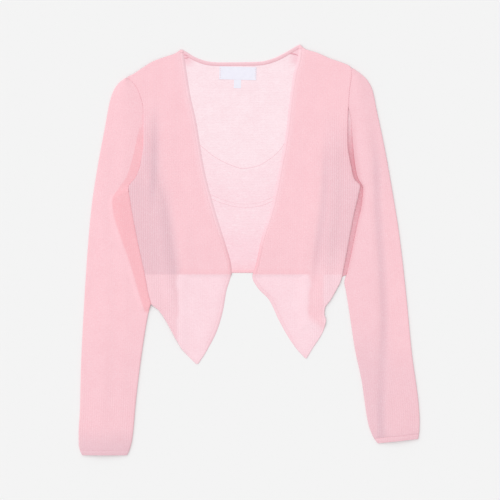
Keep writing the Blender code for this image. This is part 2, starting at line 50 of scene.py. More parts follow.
MM = 0.001

# Thickness of the knit, and how far pieces run under each other at a seam
WALL = 1.2
GAP = 0.3
SEAM_TUCK = 0.7
FOLD_TUCK = 1.7
BAND_TUCK = 1.3
LAYER = WALL + GAP

# How far the soft free edges lie inside the outline
EDGE_INSET = 1.4
SHOULDER_SHARE = 1.45
POINT_INSET = 0.4
INNER_INSET = 1.3
NECK_INSET = 1.8
NECK_MIDDLE = -12.0

# Ribs, the painted highlight and shade on them, and how finely the cloth is drawn
RIB_PITCH = 3.4
RIB_HEIGHT = 0.5
RIB_CREST_HIGHLIGHT = 0.4
RIB_VALLEY_SHADE = 0.14
COLUMN = RIB_PITCH / 4
ROW_STEP = 4.0
FINE_ROW_STEP = 1.8
ROW_CLEAR = 0.8
PLAIN_COLUMN = 9.0
BACK_COLUMN = 2.5
COLUMN_CLEAR = 2.0
RIPPLE_PITCH = 2.3
FOLD_FADE = 45.0
SOFT_EDGE = 14.0
KNIT_LIFT = 0.12
SHEER_RUN = 2.5
SHARP_ANGLE = radians(55.0)
SAME_KEY = 0.001
EDGE_SINK = 0.5
EDGE_STEPS = ((0.0, 0.62), (0.25, 0.3), (0.7, 0.08), (1.3, 0.0))

# Folded edges of a sleeve, the painted shade along them, and the softness of its middle
SLEEVE_EDGE_HEIGHT = 2 * WALL + GAP
EDGE_SHADE = 0.12
SLEEVE_PUFF = 2.0
FOLD_WIDTH = 2.4
FOLD_STEPS = (0.08, 0.4, 0.9, 1.6)
FOLD_GAP = 0.25
RAMP_SHARES = (0.45, 0.6)
CROWN_DEPTH = 20.0

# Narrow bands, hems and labels
BAND_WIDTH = 6.0
BAND_HEIGHT = 2.2
BAND_END_INSET = 0.3
BAND_TOP_OVERLAP = 0.9
BAND_TOP_RUN = 2.5
BAND_TIP = 0.12
BAND_TAPER = 26.0
BAND_MARKS = (0.4, -0.3)
NECK_BAND_WIDTH = 6.0
NECK_ROLL = 1.3
HEM_WIDTH = 5.5
CUFF_HEM = 7.0
CUFF_GAP = 0.4
CUFF_TUCK = 0.6
LABEL_SIZE = (57.0, 20.0, 0.35)
LABEL_CENTRE = (-17.5, 273.8)
LABEL_TURN = radians(-1.5)
TAB_SIZE = (11.0, 13.0, 0.35)
TAB_GAP = 0.1
TAB_SHIFT = -0.6
LABEL_BASE = 1.14
LABEL_LIFT = 0.12
LABEL_WAVE = 0.05
RIM_PLACE = 0.985
STITCH_WIDTH = 0.55
LABEL_STITCH_INSET = 1.6
LABEL_STITCH_LIFT = 0.35
LABEL_STITCH_PITCH = 3.4
LABEL_STITCH_LENGTH = 2.2
ARMHOLE_STITCH_PITCH = 3.1
ARMHOLE_STITCH_LENGTH = 2.0
ARMHOLE_STITCH_SHIFT = 0.2
ARMHOLE_STITCH_LIFT = 0.28
TUCK_BASE = 1.0

# Where an upper layer steps down past the edge of the layer below
STEP_CLEAR = 1.2
STEP_RUN = 6.0
SOFT_STEP_RUN = 16.0

# Back panel: straight hem between two longer side parts
BACK_HEM_Y = -35.5
TAIL_INSET = 1.2
SHOULDER_INSET = 3.8
YOKE_Y = 250.0
SIDE_HEM_TOP = -84.0
BACK_WAVE = 0.18
SHOULDER_Y = 268.0

# How much wider than its mean width the cut of a tapered sleeve is
TAPER_ALLOWANCE = 1.1

# How many rows or steps a piece is built with
YOKE_ROWS = 18
NECK_ROWS = 150
HEM_ROWS = 90
CUFF_ROWS = 8
BAND_ROW_STEP = 1.15
LINE_STEPS = 60
TUCK_STEPS = 10

# The photo's frame: its width in millimetres and the place that its middle shows, and the studio
FRAME_WIDTH = 775.0
FRAME_CENTRE = (1.3, 0.0)
CAMERA_HEIGHT = 3.0
SENSOR = 36.0
SURROUND_STRENGTH = 0.72
LAMP_STRENGTH = 1.22
LAMP_SPREAD = radians(78.0)
LAMP_TURN = (radians(-24.0), radians(-30.0), 0.0)
FLOOR_REACH = 6.0
FLOOR_COLOUR = (0.88, 0.88, 0.88, 1.0)

Fold = namedtuple("Fold", "path half_width lift top bottom")
# A tone's parts are painted: thin is painted light, mostly through a single layer; shade is painted
# shade; deep is painted shadow; warm is painted layer shade
Tone = namedtuple("Tone", "thin shade deep warm")
PLAIN_TONE = Tone(0.0, 0.0, 0.0, 0.0)
Point = namedtuple("Point", "key x y z tone wale", defaults=(PLAIN_TONE, 0.0))
Row = namedtuple("Row", "outer inner folds", defaults=((),))


def srgb(red, green, blue):
    """A display colour, from 0 to 255, as the linear colour of a shader."""
    def linear(value):
        value /= 255
        return value / 12.92 if value <= 0.04045 else ((value + 0.055) / 1.055) ** 2.4
    return (linear(red), linear(green), linear(blue), 1.0)


# Colours of the cloth, seen in even light, with the lighter and darker pinks that paint light and shade
# into it
KNIT = srgb(252, 204, 212)
# Painted light: the lighter pink where light shows through a single layer, on sheer edges and on rib
# crests
KNIT_LIT_THROUGH = srgb(253, 220, 228)
KNIT_SHADE = srgb(228, 192, 202)
# Deep pink: painted shadow in grooves, corners, rib valleys and along edges, and also the real deep pink
# of speckles and thread twist
KNIT_DEEP_AND_SHADOW = srgb(224, 156, 167)
# Painted layer shade: the salmon where more layers lie below and let less light through, as in the wedge
# and over doubled hems
KNIT_LAYER_SHADE = srgb(252, 188, 196)
INSIDE = srgb(252, 215, 224)
INSIDE_LIGHT = srgb(253, 230, 236)
FLECK = srgb(252, 232, 236)
STREAK = srgb(255, 243, 247)
THREAD = srgb(251, 215, 223)
# Darker seam-thread pink: the armhole stitches, and the painted shade of the neck creases' cords
SEAM_THREAD_AND_CREASE_SHADE = srgb(234, 176, 187)
LABEL_WHITE = srgb(241, 240, 250)
LABEL_LINE = srgb(227, 224, 239)
COURSE = 2.6

# Uneven colour of the knit: its noise, the noise's limits, and the strength and colour
SPECKLES = (
    ((38.0, 4.0, 0.6), (0.3, 0.8), 0.12, KNIT_DEEP_AND_SHADOW),
    ((330.0, 3.0, 0.6, 2.4), (0.45, 0.72), 0.16, KNIT_DEEP_AND_SHADOW),
    ((420.0, 3.0, 0.7, 1.8), (0.5, 0.72), 0.3, FLECK),
)


def edge_slopes(positions, values):
    """Slopes at the points of a table that keep the curve from overshooting between them."""
    secants = [
        (values[i + 1] - values[i]) / (positions[i + 1] - positions[i])
        for i in range(len(positions) - 1)
    ]
    slopes = [secants[0]]
    for before, after in zip(secants, secants[1:]):
        slopes.append(2 * before * after / (before + after) if before * after > 0 else 0.0)
    slopes.append(secants[-1])
    return slopes


class Edge:
    """A smooth line through a short table of (position, value) rows."""

    def __init__(self, *rows):
        ordered = sorted(rows)
        self.positions = [row[0] for row in ordered]
        self.values = [row[1] for row in ordered]
        self.slopes = edge_slopes(self.positions, self.values)

    def __call__(self, position):
        i = min(max(bisect_left(self.positions, position) - 1, 0), len(self.positions) - 2)
        run = self.positions[i + 1] - self.positions[i]
        t = (position - self.positions[i]) / run
        t = min(max(t, 0.0), 1.0)
        start = (1 + 2 * t) * (1 - t) ** 2 * self.values[i]
        end = t * t * (3 - 2 * t) * self.values[i + 1]
        bend_start = t * (1 - t) ** 2 * run * self.slopes[i]
        bend_end = t * t * (t - 1) * run * self.slopes[i + 1]
        return start + end + bend_start + bend_end

    def stretch(self, position, step=2.0):
        """How much longer the line is than its run along the table's positions."""
        return hypot(1.0, (self(position + step) - self(position - step)) / (2 * step))


# Section of the back's hem: shares of its width and of the cloth's thickness
HEM_SECTION = ((0.0, 0.2), (0.05, 0.6), (0.15, 0.9), (0.3, 1.0), (0.6, 0.98), (0.85, 0.92), (1.0, 0.8))
# Sections of the rolled bands, from the free edge: shares of their width and height
NECK_SECTION = (
    (0.0, 0.16), (0.02, 0.36), (0.07, 0.54), (0.16, 0.66), (0.28, 0.69), (0.42, 0.66),
    (0.56, 0.62), (0.68, 0.6), (0.8, 0.58), (0.9, 0.5), (0.96, 0.4), (1.0, 0.2),
)
FRONT_SECTION = (
    (0.0, 0.06), (0.05, 0.16), (0.12, 0.26), (0.2, 0.36), (0.3, 0.46), (0.42, 0.56), (0.54, 0.61),
    (0.66, 0.61), (0.78, 0.57), (0.88, 0.52), (0.95, 0.42), (1.0, 0.2),
)

# Creases at the ends of the neck band, drawn as cords whose darker thread pink is painted shade: centre
# x and y, length, turn in degrees, bend and thickness
NECK_TUCKS = {
    "right": (
        (-97.2, 301, 13, -12, 0.9, 0.98),
        (-97.6, 298.2, 9.5, 8, -0.7, 0.86),
        (-99.6, 303.4, 8, -62, 0.4, 0.84),
    ),
    "left": (
        (68, 302.6, 20, -11, 1.4, 0.98),
        (59.5, 304.9, 12, 26, 0.5, 0.86),
    ),
}

# Outline of the wearer's right front, at -X: columns are the height y and the edge x
RIGHT_FRONT_SIDE = Edge(
    (312.5, -107.5), (308.5, -112), (303.5, -122.5), (298.5, -138), (292, -153.5), (282, -169),
    (272, -184.5), (267.5, -191), (260.5, -181.5), (248, -172.5), (217, -164.5), (170.5, -164),
    (133, -169), (114.5, -175.5), (96, -188), (77.5, -186), (40, -179.5), (-34, -164),
    (-82, -153.5), (-93, -142.5), (-108.5, -131.5), (-139.5, -114.5), (-155, -105), (-170.5, -90.5),
    (-177.5, -83),
)
RIGHT_FRONT_EDGE = Edge(
    (312.5, -102.5), (276, -97), (238.5, -91), (201.5, -82.5), (127, -70), (52.5, -50.5), (-3, -33),
    (-22, -28), (-34, -27), (-46.5, -29.5), (-62, -34.5), (-93, -40), (-124, -49), (-155, -64.5),
    (-177.5, -79),
)

# Outline of the wearer's left front, at +X
LEFT_FRONT_SIDE = Edge(
    (319.5, 80.5), (316, 84.5), (310.5, 94.5), (306, 110), (298.5, 125.5), (282, 160),
    (272.5, 158.5), (241.5, 155), (186, 152.5), (167.5, 152.5), (130, 158), (111.5, 162.5),
    (99, 172), (85, 169.5), (55.5, 162.5), (-18.5, 148.5), (-48, 142), (-62, 136.5), (-77.5, 128),
    (-90, 119), (-99, 118), (-108.5, 120.5), (-124, 117), (-155, 98.5), (-169, 90),
)
LEFT_FRONT_EDGE = Edge(
    (319.5, 78), (294.5, 75), (276, 69.5), (238.5, 63.5), (183, 57), (127, 47), (71, 35.5),
    (15.5, 18.5), (-22, 10.5), (-42, 5), (-59, 13), (-77.5, 30.5), (-108.5, 45.5), (-139.5, 63),
    (-155, 74.5), (-169, 87.5),
)

# Sleeves: the outer fold, and the line from the shoulder seam down the inner fold
RIGHT_SLEEVE_OUTER = Edge(
    (267.5, -192.5), (259, -203.5), (248, -211), (232.5, -216.5), (186, -225.5), (124, -237),
    (62, -246), (0, -251.5), (-93, -257.5), (-186, -262), (-248, -263.5), (-285, -265.5),
    (-300, -265.5), (-312, -263), (-319.5, -259),
)
RIGHT_SLEEVE_INNER = Edge(
    (-82, -153.5 + FOLD_TUCK), (-97, -154.5), (-124, -159.5), (-170.5, -166.5), (-232.5, -174),
    (-294.5, -180), (-310, -184), (-319.5, -188.5),
)
LEFT_SLEEVE_OUTER = Edge(
    (282, 162), (276, 171.5), (263.5, 184.5), (248, 192.5), (217, 199), (155, 212), (93, 223),
    (31, 233), (-62, 244), (-155, 253), (-248, 264.5), (-270, 265.5), (-285, 265), (-297.8, 263),
)
LEFT_SLEEVE_INNER = Edge(
    (223, 154 - SEAM_TUCK), (204.5, 158), (167.5, 160.5), (130, 164.5), (112, 168.5), (96, 176.5),
    (74.5, 175), (37, 167), (0, 159.5), (-37.5, 151), (-50, 147.5), (-62, 148.5), (-93, 153.5),
    (-155, 163), (-201.5, 173), (-263.5, 183), (-285, 190.5), (-297.8, 199),
)

# Side edges of the back panel: at -X a strip of it lies under the sleeve below the underarm
RIGHT_BACK_EDGE = Edge(
    (266, -186), (258, -177.5), (248, -170.5), (217, -163.5), (170.5, -163), (133, -168),
    (114.5, -174.5), (98, -184.5), (94, -188), (77.5, -211), (59, -210), (21.5, -199.5),
    (-15.5, -186), (-56, -174), (-77.5, -167.5), (-88, -163),
)

# Edge of the wedge of painted layer shade beside the front, where the back lies under the sleeve
WEDGE_EDGE = Edge(
    (207.5, -166.5), (170.5, -174), (133, -183), (114.5, -189.5), (96, -201.5), (77.5, -212),
    (59, -210.5), (21.5, -199.5), (-15.5, -186), (-56, -174), (-96, -161.5),
)

# Upper edge of the neck band: columns are x and the height y
NECK_LINE = Edge(
    (-103, 310.4), (-99, 308.5), (-84, 300.5), (-60.5, 293.5), (-45, 292.5), (1.5, 293),
    (17, 293.7), (32.5, 297), (63.5, 311.5), (75, 317.5), (78.5, 319),
)

# Fine curved lines on the inside of the back, as (x, y)
UPPER_LINE = Edge(
    (-82, 167.5), (-71.5, 158.5), (-53, 144), (-29.5, 132), (-9.5, 126.5), (10.5, 129.5),
    (32.5, 141.5), (48, 155.5), (60, 175),
)
LOWER_LINE = Edge(
    (-66, 83.5), (-57.5, 79), (-42, 72.7), (-22, 67.2), (-6.5, 65.7), (13.5, 67.7), (32.5, 74.2),
    (50, 83.5),
)
FAINT_LINE = Edge(
    (-66, 89), (-42, 78.4), (-22, 72.7), (-6.5, 71.2), (13.5, 73.2), (32.5, 79.9), (50, 89.3),
)
FINE_LINES = (("upper", UPPER_LINE, 0.34), ("lower", LOWER_LINE, 0.34), ("faint", FAINT_LINE, 0.24))
LINE_BASE = 1.06

# How dark the painted shadow in the narrow groove between the left front and its sleeve is, down its
# length
GROOVE_SHADOW_STRENGTH = Edge((230, 0.1), (205, 0.3), (165, 0.75), (139, 1), (93, 0.97), (46, 0.8), (-45, 0.78))
GROOVE_END = -43.0

# Creases of the fronts and sleeves, which the folds and the painted shade of the creases follow
RIGHT_CREASE = Edge(
    (263, -143), (139, -144), (110, -138.5), (77, -127.5), (38.5, -121.5), (0, -116.5),
    (-34, -111.5), (-140, -106),
)
RIGHT_SHARP_CREASE = Edge(
    (263, -143), (170, -145), (140, -145.5), (116, -147.5), (93, -150), (50, -148),
)
LEFT_CREASE = Edge((263, 114), (170, 119), (77, 115), (-10, 104), (-116, 95))
LEFT_SLEEVE_CREASE = Edge(
    (200, 191), (116, 197), (77, 197.5), (31, 200.5), (-31, 204.5), (-108, 207.5), (-186, 205),
    (-248, 203), (-295, 203),
)
RIGHT_SLEEVE_CREASE = Edge((200, -200), (60, -214), (-80, -205), (-300, -215))


def drawn_in(line, shift, low, high):
    """The same line, with its free stretches above and below two heights drawn in."""
    rows = []
    for y, x in zip(line.positions, line.values):
        is_free = y <= low or y >= high
        share = SHOULDER_SHARE if y >= high else 1.0
        rows.append((y, x + (shift * share * line.stretch(y) if is_free else 0.0)))
    return Edge(*rows)


def beside(crease, offset):
    """A line that runs along a crease, moved sideways."""
    return Edge(*[(y, x + offset) for y, x in zip(crease.positions, crease.values)])


SIDES = (
    SimpleNamespace(
        name="right",
        sign=-1,
        front_side=drawn_in(RIGHT_FRONT_SIDE, EDGE_INSET, -93.0, 267.5),
        front_edge=drawn_in(RIGHT_FRONT_EDGE, -POINT_INSET, -46.0, inf),
        sleeve_outer=drawn_in(RIGHT_SLEEVE_OUTER, EDGE_INSET, inf, inf),
        sleeve_inner=drawn_in(RIGHT_SLEEVE_INNER, -INNER_INSET, -97.0, inf),
        back_edge=RIGHT_BACK_EDGE,
        # Where the front, its band and the longer side part of the back end
        front_top=310.2, front_bottom=-176.2, shoulder_y=267.5, band_top=305.4, band_end=-165.7,
        notch_x=-108.0, tail_y=-148.0,
        # Where the sleeve, its cuff and the strip of the back below it end
        sleeve_top=266.4, cuff_y=-310.4, cuff_slope=0.0, underarm=88.0, strip_top=97.0,
        strip_bottom=-90.5,
        front_folds=(
            Fold(beside(RIGHT_CREASE, -13.0), 14.0, 1.4, 235.0, -110.0),
            Fold(beside(RIGHT_CREASE, 16.0), 20.0, 0.8, 215.0, -150.0),
        ),
        sleeve_folds=(Fold(RIGHT_SLEEVE_CREASE, 16.0, -0.7, 190.0, -290.0),),
        crease=RIGHT_CREASE,
        sleeve_crease=RIGHT_SLEEVE_CREASE,
        sharp_crease=RIGHT_SHARP_CREASE,
        # How far the painted shade of the creases and the zone, and the painted light and layer shade at
        # the point, reach, and how strong they are
        sharp_end=50.0, crease_top=245.0, crease_bottom=-88.0, zone_top=240.0, point_edge=-112.5,
        strip_width=200.0, strip_layer_shade=0.05, soft_crease=0.45, crease_shade=0.38, zone_shade=0.56,
        zone_fade=0.0, cuff_shade=0.55,
    ),
    SimpleNamespace(
        name="left",
        sign=1,
        front_side=drawn_in(LEFT_FRONT_SIDE, -EDGE_INSET, -62.0, 282.0),
        front_edge=drawn_in(LEFT_FRONT_EDGE, POINT_INSET, -59.0, inf),
        sleeve_outer=drawn_in(LEFT_SLEEVE_OUTER, -EDGE_INSET, inf, inf),
        sleeve_inner=drawn_in(LEFT_SLEEVE_INNER, INNER_INSET, -62.0, inf),
        back_edge=LEFT_SLEEVE_INNER,
        front_top=317.8, front_bottom=-167.4, shoulder_y=282.0, band_top=311.4, band_end=-154.7,
        notch_x=92.0, tail_y=-110.0,
        sleeve_top=281.2, cuff_y=-288.6, cuff_slope=0.106, underarm=96.0, strip_top=-inf,
        strip_bottom=-inf,
        front_folds=(
            Fold(beside(LEFT_CREASE, 15.0), 16.0, 1.3, 200.0, -90.0),
            Fold(beside(LEFT_CREASE, -15.0), 18.0, 0.8, 180.0, -120.0),
        ),
        sleeve_folds=(Fold(LEFT_SLEEVE_CREASE, 13.0, -1.2, 215.0, -290.0),),
        crease=LEFT_CREASE,
        sleeve_crease=LEFT_SLEEVE_CREASE,
        sharp_crease=LEFT_CREASE,
        sharp_end=-60.0, crease_top=190.0, crease_bottom=-60.0, zone_top=228.0, point_edge=94.0,
        strip_width=18.0, strip_layer_shade=0.2, soft_crease=0.0, crease_shade=0.24, zone_shade=0.42,
        zone_fade=0.85, cuff_shade=0.28,
    ),
)


def ease(t):
    """A smooth step from 0 to 1."""
    t = min(max(t, 0.0), 1.0)
    return t * t * (3 - 2 * t)


def up_from(value, start, run):
    """A smooth step from 0 at a start to 1 at a run above it."""
    return ease((value - start) / run)


def down_from(value, start, run):
    """A smooth step from 0 at a start to 1 at a run below it."""
    return ease((start - value) / run)


def bump(t):
    """A smooth hump, 1 at the middle and 0 at a distance of 1."""
    return (1 - t * t) ** 2 if abs(t) < 1 else 0.0


def fold_lift(folds, x, y):
    """Height that the soft folds add to the cloth at a place."""
    lift = 0.0
    for fold in folds:
        hump = bump((x - fold.path(y)) / fold.half_width)
        along = down_from(y, fold.top, FOLD_FADE) * up_from(y, fold.bottom, FOLD_FADE)
        lift += fold.lift * hump * along
    return lift


def rib_wave(distance):
    """Rounded ribs: 1 on a crest and 0 in the valley between two."""
    return 0.5 - 0.5 * cos(2 * pi * distance / RIB_PITCH)


def ripple(distance, share):
    """Low ripples along a band or hem, as a share of its height."""
    return 1 + share * sin(2 * pi * distance / RIPPLE_PITCH)


def unevenness(x, y, seed):
    """A slow, low waviness of soft cloth, from -1 to 1."""
    wave = sin(x / 17.0 + seed) * sin(y / 41.0 - seed * 2)
    wave += 0.6 * sin((x + y) / 29.0 + seed * 3) * sin((x - 2 * y) / 73.0)
    wave += 0.4 * sin(x / 9.0 - y / 60.0 + seed)
    return wave / 2.0


def spaced(low, high, pitch, margin):
    """Multiples of a pitch that lie between two values, clear of both."""
    first = int(low / pitch) - 1
    count = int((high - low) / pitch) + 4
    places = [(first + i) * pitch for i in range(count)]
    return [p for p in places if low + margin < p < high - margin]


def across(low, high, pitch, margin):
    """The same multiples with both values before and after them."""
    return [low] + spaced(low, high, pitch, margin) + [high]


def heights_between(top, bottom, marks=(), step=ROW_STEP):
    """Rows from a top height down to a bottom one, an even step apart, with the marks between."""
    count = max(1, round((top - bottom) / step))
    rows = [top - (top - bottom) * i / count for i in range(count + 1)]
    kept = [y for y in rows if all(abs(y - m) > ROW_CLEAR for m in marks) or y in (top, bottom)]
    return sorted(set(kept + [m for m in marks if bottom < m < top]), reverse=True)


def step_down(distance, run):
    """Height left of one layer's step, at a distance past the edge of the layer below."""
    return LAYER * (1 - up_from(distance, STEP_CLEAR, run))


def front_base(side, x, y):
    """Height of a front's underside: it lies on the back panel and steps down past it."""
    past_notch = step_down(side.sign * (side.notch_x - x), SOFT_STEP_RUN)
    past_tail = step_down(side.tail_y - y, SOFT_STEP_RUN)
    return max(step_down(BACK_HEM_Y - y, STEP_RUN), min(past_notch, past_tail))


def band_reach(side, y):
    """Width across a row of the band along a front's edge, which narrows to its tip."""
    taper = BAND_TIP + (1 - BAND_TIP) * up_from(y, side.band_end, BAND_TAPER)
    return BAND_WIDTH * side.front_edge.stretch(y) * taper


def panel_edge(side, y):
    """The edge of a front's panel, which stops beside its band and goes past the band's ends."""
    if y < side.band_end or y > side.band_top:
        return side.front_edge(y)
    return side.front_edge(y) + side.sign * max(band_reach(side, y) - BAND_TUCK, 0.0)


def below_hem(y):
    """Share of the single layer that lies below the back's hem."""
    return down_from(y, BACK_HEM_Y - 1, SHEER_RUN)


def groove_shadow(side, y, distance):
    """How much painted shadow deepens the colour close beside the groove of the left sleeve."""
    if side.sign < 0 or not GROOVE_END < y < GROOVE_SHADOW_STRENGTH.positions[-1]:
        return 0.0
    near = 1 - ease(distance / (6.0 + 4.0 * up_from(y, 100, 20)))
    return 0.4 * GROOVE_SHADOW_STRENGTH(y) * near * up_from(y, GROOVE_END, 10)


def front_zone(side, outboard, y):
    """How strongly the painted shade of the zone outboard of a front's crease shows at a place."""
    reach = 12.0 + (8.0 * up_from(y, 60, 40) if side.sign < 0 else 0.0)
    zone = ease((outboard + reach) / (1.5 * reach)) * down_from(y, side.zone_top, 110)
    return zone * (1 - 0.3 * up_from(outboard, 14, 12) * up_from(y, 90, 30))


def front_creases(side, x, y):
    """How strongly the painted shade of a front's sharp crease and of its soft one shows at a place."""
    sharp = bump((x - side.sharp_crease(y)) / 9.0)
    sharp *= down_from(y, side.crease_top, 90) * up_from(y, side.sharp_end, 50)
    soft = side.soft_crease * bump((side.sign * (x - side.crease(y)) - 6.0) / 22.0)
    soft *= down_from(y, 100, 60) * up_from(y, side.crease_bottom, 60)
    return sharp, soft


def front_tone(side, x, y, from_side, from_edge):
    """How thin, shaded, deep or warm the colour of a front is at a place: painted light through one
    layer, painted shade, painted shadow and painted layer shade.
    """
    past_hem = below_hem(y)
    past_point = side.sign * (x - side.point_edge)
    wander = 1.6 * sin(y / 11.0) + 0.9 * sin(y / 4.7)
    inside_notch = ease((wander - past_point) / 11.0 + 0.5)
    below_tail = ease((side.tail_y + 8.0 - 0.8 * past_point - y) / 26.0 + 0.5)
    # Painted light where the point is a single layer below the back's hem, and painted layer shade
    # beside it where two layers lie
    thin = past_hem * max(inside_notch, below_tail)
    beside_point = past_hem * (1 - thin)
    past_strip = up_from(past_point, side.strip_width, 6)

    # Painted shade of the zone outboard of the crease and of the creases; where the zone fades it turns
    # to painted light
    zone = front_zone(side, side.sign * (x - side.crease(y)), y)
    faded = side.zone_fade * down_from(y, 20, 60)
    zone_sheer = 0.28 * zone * faded
    zone *= 1 - faded
    zone *= (1 - thin) * (1 - 0.8 * beside_point)
    sharp, soft = front_creases(side, x, y)
    crease = max(sharp, soft) * (1 - thin)
    # A little darker towards the hem
    low = 0.08 * down_from(y, 70, 90) * (1 - thin)
    shade = min(side.zone_shade * zone + side.crease_shade * crease + low, 1.0)

    # Painted shadow in the side hem's stitched groove, along the rolled edges, over the back's hem
    # beneath, beside the sleeve's groove, near the point's free edge and along the sharp crease
    hem_line = bump((from_side - 3.0) / 1.2) if y < SIDE_HEM_TOP else 0.0
    hem_above = bump((y - BACK_HEM_Y - 1.5) / 4.0) * inside_notch
    rim = 1 - ease(min(from_side, from_edge) / 1.3)
    deep = 0.1 * hem_line + 0.12 * rim + 0.08 * hem_above + 0.4 * groove_shadow(side, y, from_side)
    deep += 0.07 * past_hem * (1 - ease(from_edge / 14.0)) + 0.15 * sharp * down_from(y, 40, 60)
    # Painted layer shade beside the point and over the back's hem beneath
    warm = side.strip_layer_shade * beside_point * (1 - past_strip) + 0.2 * hem_above
    # Painted light through the sheer cloth near the free edge, in the faded zone and beside the point
    sheer = 0.3 * bump(from_edge / 9.0) * up_from(y, 10, 60)
    sheer = max(sheer, zone_sheer, beside_point * (0.42 + 0.35 * past_strip))
    return Tone(max(thin, sheer), shade, min(deep, 1.0), min(warm, 1.0))


def front_row(side, y):
    """One row across a front: ribbed above, plain below."""
    low, high = sorted((side.front_side(y), panel_edge(side, y)))
    lean = side.front_side.stretch(y)
    edge_run = min(EDGE_STEPS[-1][0] * lean, (high - low) * 0.3)
    scale = edge_run / EDGE_STEPS[-1][0]
    smooth_edge = 2.5 * down_from(y, BACK_HEM_Y, 12)

    def under(x):
        z = front_base(side, x, y) + fold_lift(side.front_folds, x, y)
        return Point(x, x, y, z, PLAIN_TONE, x / RIB_PITCH)

    def surface(x, drop):
        from_side, from_edge = (x - low, high - x) if side.sign < 0 else (high - x, x - low)
        inward = min(from_side, from_edge)
        from_side /= lean
        zone = ease(side.sign * (x - side.crease(y)) / 20.0 + 0.5)
        zone *= down_from(y, side.zone_top + 20, 110)
        wave = rib_wave(x)
        ribs = RIB_HEIGHT * (0.3 + 0.7 * zone) * wave * up_from(inward, smooth_edge, 2 + smooth_edge)
        soft = 0.15 * unevenness(x, y, 1.0 + side.sign) * ease(inward / SOFT_EDGE)
        roll = 0.0
        if y < SIDE_HEM_TOP:
            roll = 0.35 * bump((from_side - 1.3) / 1.5) - 0.2 * bump((from_side - 3.2) / 0.9)
        elif y > side.underarm:
            drop *= 0.45 if from_side < from_edge else 1.0
        z = under(x).z + WALL * (1 - drop) + ribs + soft + KNIT_LIFT + roll
        tone = front_tone(side, x, y, from_side, from_edge)
        # Painted highlight on the rib crests and painted shade in their valleys
        ridged = zone * ease(inward / 4.0) * up_from(y, BACK_HEM_Y, 20)
        thin = tone.thin + RIB_CREST_HIGHLIGHT * ridged * wave
        tone = tone._replace(thin=thin, deep=tone.deep + RIB_VALLEY_SHADE * ridged * (1 - wave))
        return Point(x, x, y, z, tone, x / RIB_PITCH)

    outer = [surface(low + run * scale, drop) for run, drop in EDGE_STEPS]
    outer += [surface(x, 0.0) for x in spaced(low, high, COLUMN, edge_run + 0.3)]
    outer += [surface(high - run * scale, drop) for run, drop in reversed(EDGE_STEPS)]
    inner = [under(x) for x in across(low, high, PLAIN_COLUMN, COLUMN_CLEAR)]
    return Row(outer, inner)


def front_band_row(side, y):
    """One row across the band of a front, its bead on the free edge."""
    edge = side.front_edge(y)
    reach = band_reach(side, y)
    base = front_base(side, edge + side.sign * reach / 2, y)
    # Painted light through the band, most below the hem; painted shadow at its free edge; darker, with
    # painted layer shade, towards the hem
    thin = below_hem(y)
    near_hem = down_from(y, 40, 70) * (1 - 0.55 * thin)
    sheer = 0.8 * up_from(y, -10, 60)
    fullness = 0.35 + 0.65 * down_from(y, side.band_top + BAND_TOP_OVERLAP, BAND_TOP_RUN)
    fullness *= ripple(y, 0.03)
    points = []
    for share, height in FRONT_SECTION:
        x = edge + side.sign * share * reach
        deep = 0.02 + (0.04 + 0.18 * near_hem) * bump(share / 0.4) + 0.2 * near_hem
        tone = Tone(max(thin, sheer * (1 - 0.6 * share)), 0.0, deep, 0.1 * near_hem)
        z = base + height * fullness * BAND_HEIGHT - EDGE_SINK * bump(share / 0.6) * (1 - thin)
        points.append(Point(x, x, y, z, tone, y / RIPPLE_PITCH))
    far = edge + side.sign * reach
    ends = ((edge, base - EDGE_SINK * (1 - thin)), (far, base))
    inner = [Point(x, x, y, z) for x, z in ends]
    return Row(sorted(points), sorted(inner))


def sleeve_inner_edge(side, y):
    """The inner edge of a sleeve: beside the front's seam, then its own fold."""
    if y > side.sleeve_inner.positions[-1]:
        tuck = SEAM_TUCK if y > side.underarm else FOLD_TUCK
        return side.front_side(y) - side.sign * tuck
    return side.sleeve_inner(y)


def fold_rise(distance):
    """Share of the height of a folded edge reached at a distance in from the fold."""
    t = min(max(distance / FOLD_WIDTH, 0.0), 1.0)
    return 0.5 + 0.5 * sqrt(1 - (1 - t) ** 2)


def sleeve_tone(side, x, y, from_outer, from_inner):
    """How shaded, deep or warm the colour of a sleeve is at a place: painted shade, painted shadow and
    painted layer shade.
    """
    crease = line = warm = 0.0
    if side.sign > 0:
        # Painted shade along the crease and on its unlit side
        offset = x - side.sleeve_crease(y)
        line = bump(offset / (8.0 if offset < 0 else 12.0)) * down_from(y, 200, 90)
        line *= 1 - 0.45 * bump((y + 185.0) / 75.0)
        lit = up_from(offset, 4, 14) * down_from(y, 130, 60) * up_from(y, -200, 60)
        crease = 0.95 * line + 0.35 * (1 - lit)
        crease += 0.5 * down_from(y, -90, 110) * down_from(offset, 26, 30)
    elif y > WEDGE_EDGE.positions[0]:
        # Painted layer shade in the wedge, where the back lies under the sleeve
        warm = ease((x - WEDGE_EDGE(y)) / 2.0 + 0.5) * down_from(y, 207, 40)
        warm *= 0.8 + 0.2 * down_from(y, 100, 14)
    # Darker towards the cuff; painted shadow along the folded edges, beside the groove and in the wedge
    cuff = 0.14 * down_from(y, -60, 150) + side.cuff_shade * down_from(y, -268, 42)
    rim = 1 - ease(min(from_outer, from_inner) / 2.0)
    deep = max(EDGE_SHADE * rim, groove_shadow(side, y, from_inner), 0.17 * warm * up_from(y, 90, 20))
    return Tone(0.0, min(0.5 * crease + cuff, 1.0), deep + 0.11 * line, warm)


def skin_places(width, end):
    """Distances from the outer fold across the top of a sleeve, from the inner edge outward."""
    places = [*FOLD_STEPS, *(width - d for d in FOLD_STEPS[1:]), end]
    places += spaced(COLUMN_CLEAR, width - COLUMN_CLEAR, COLUMN, 0.2)
    return sorted({round(d, 4) for d in places if 0.0 < d <= end}, reverse=True)


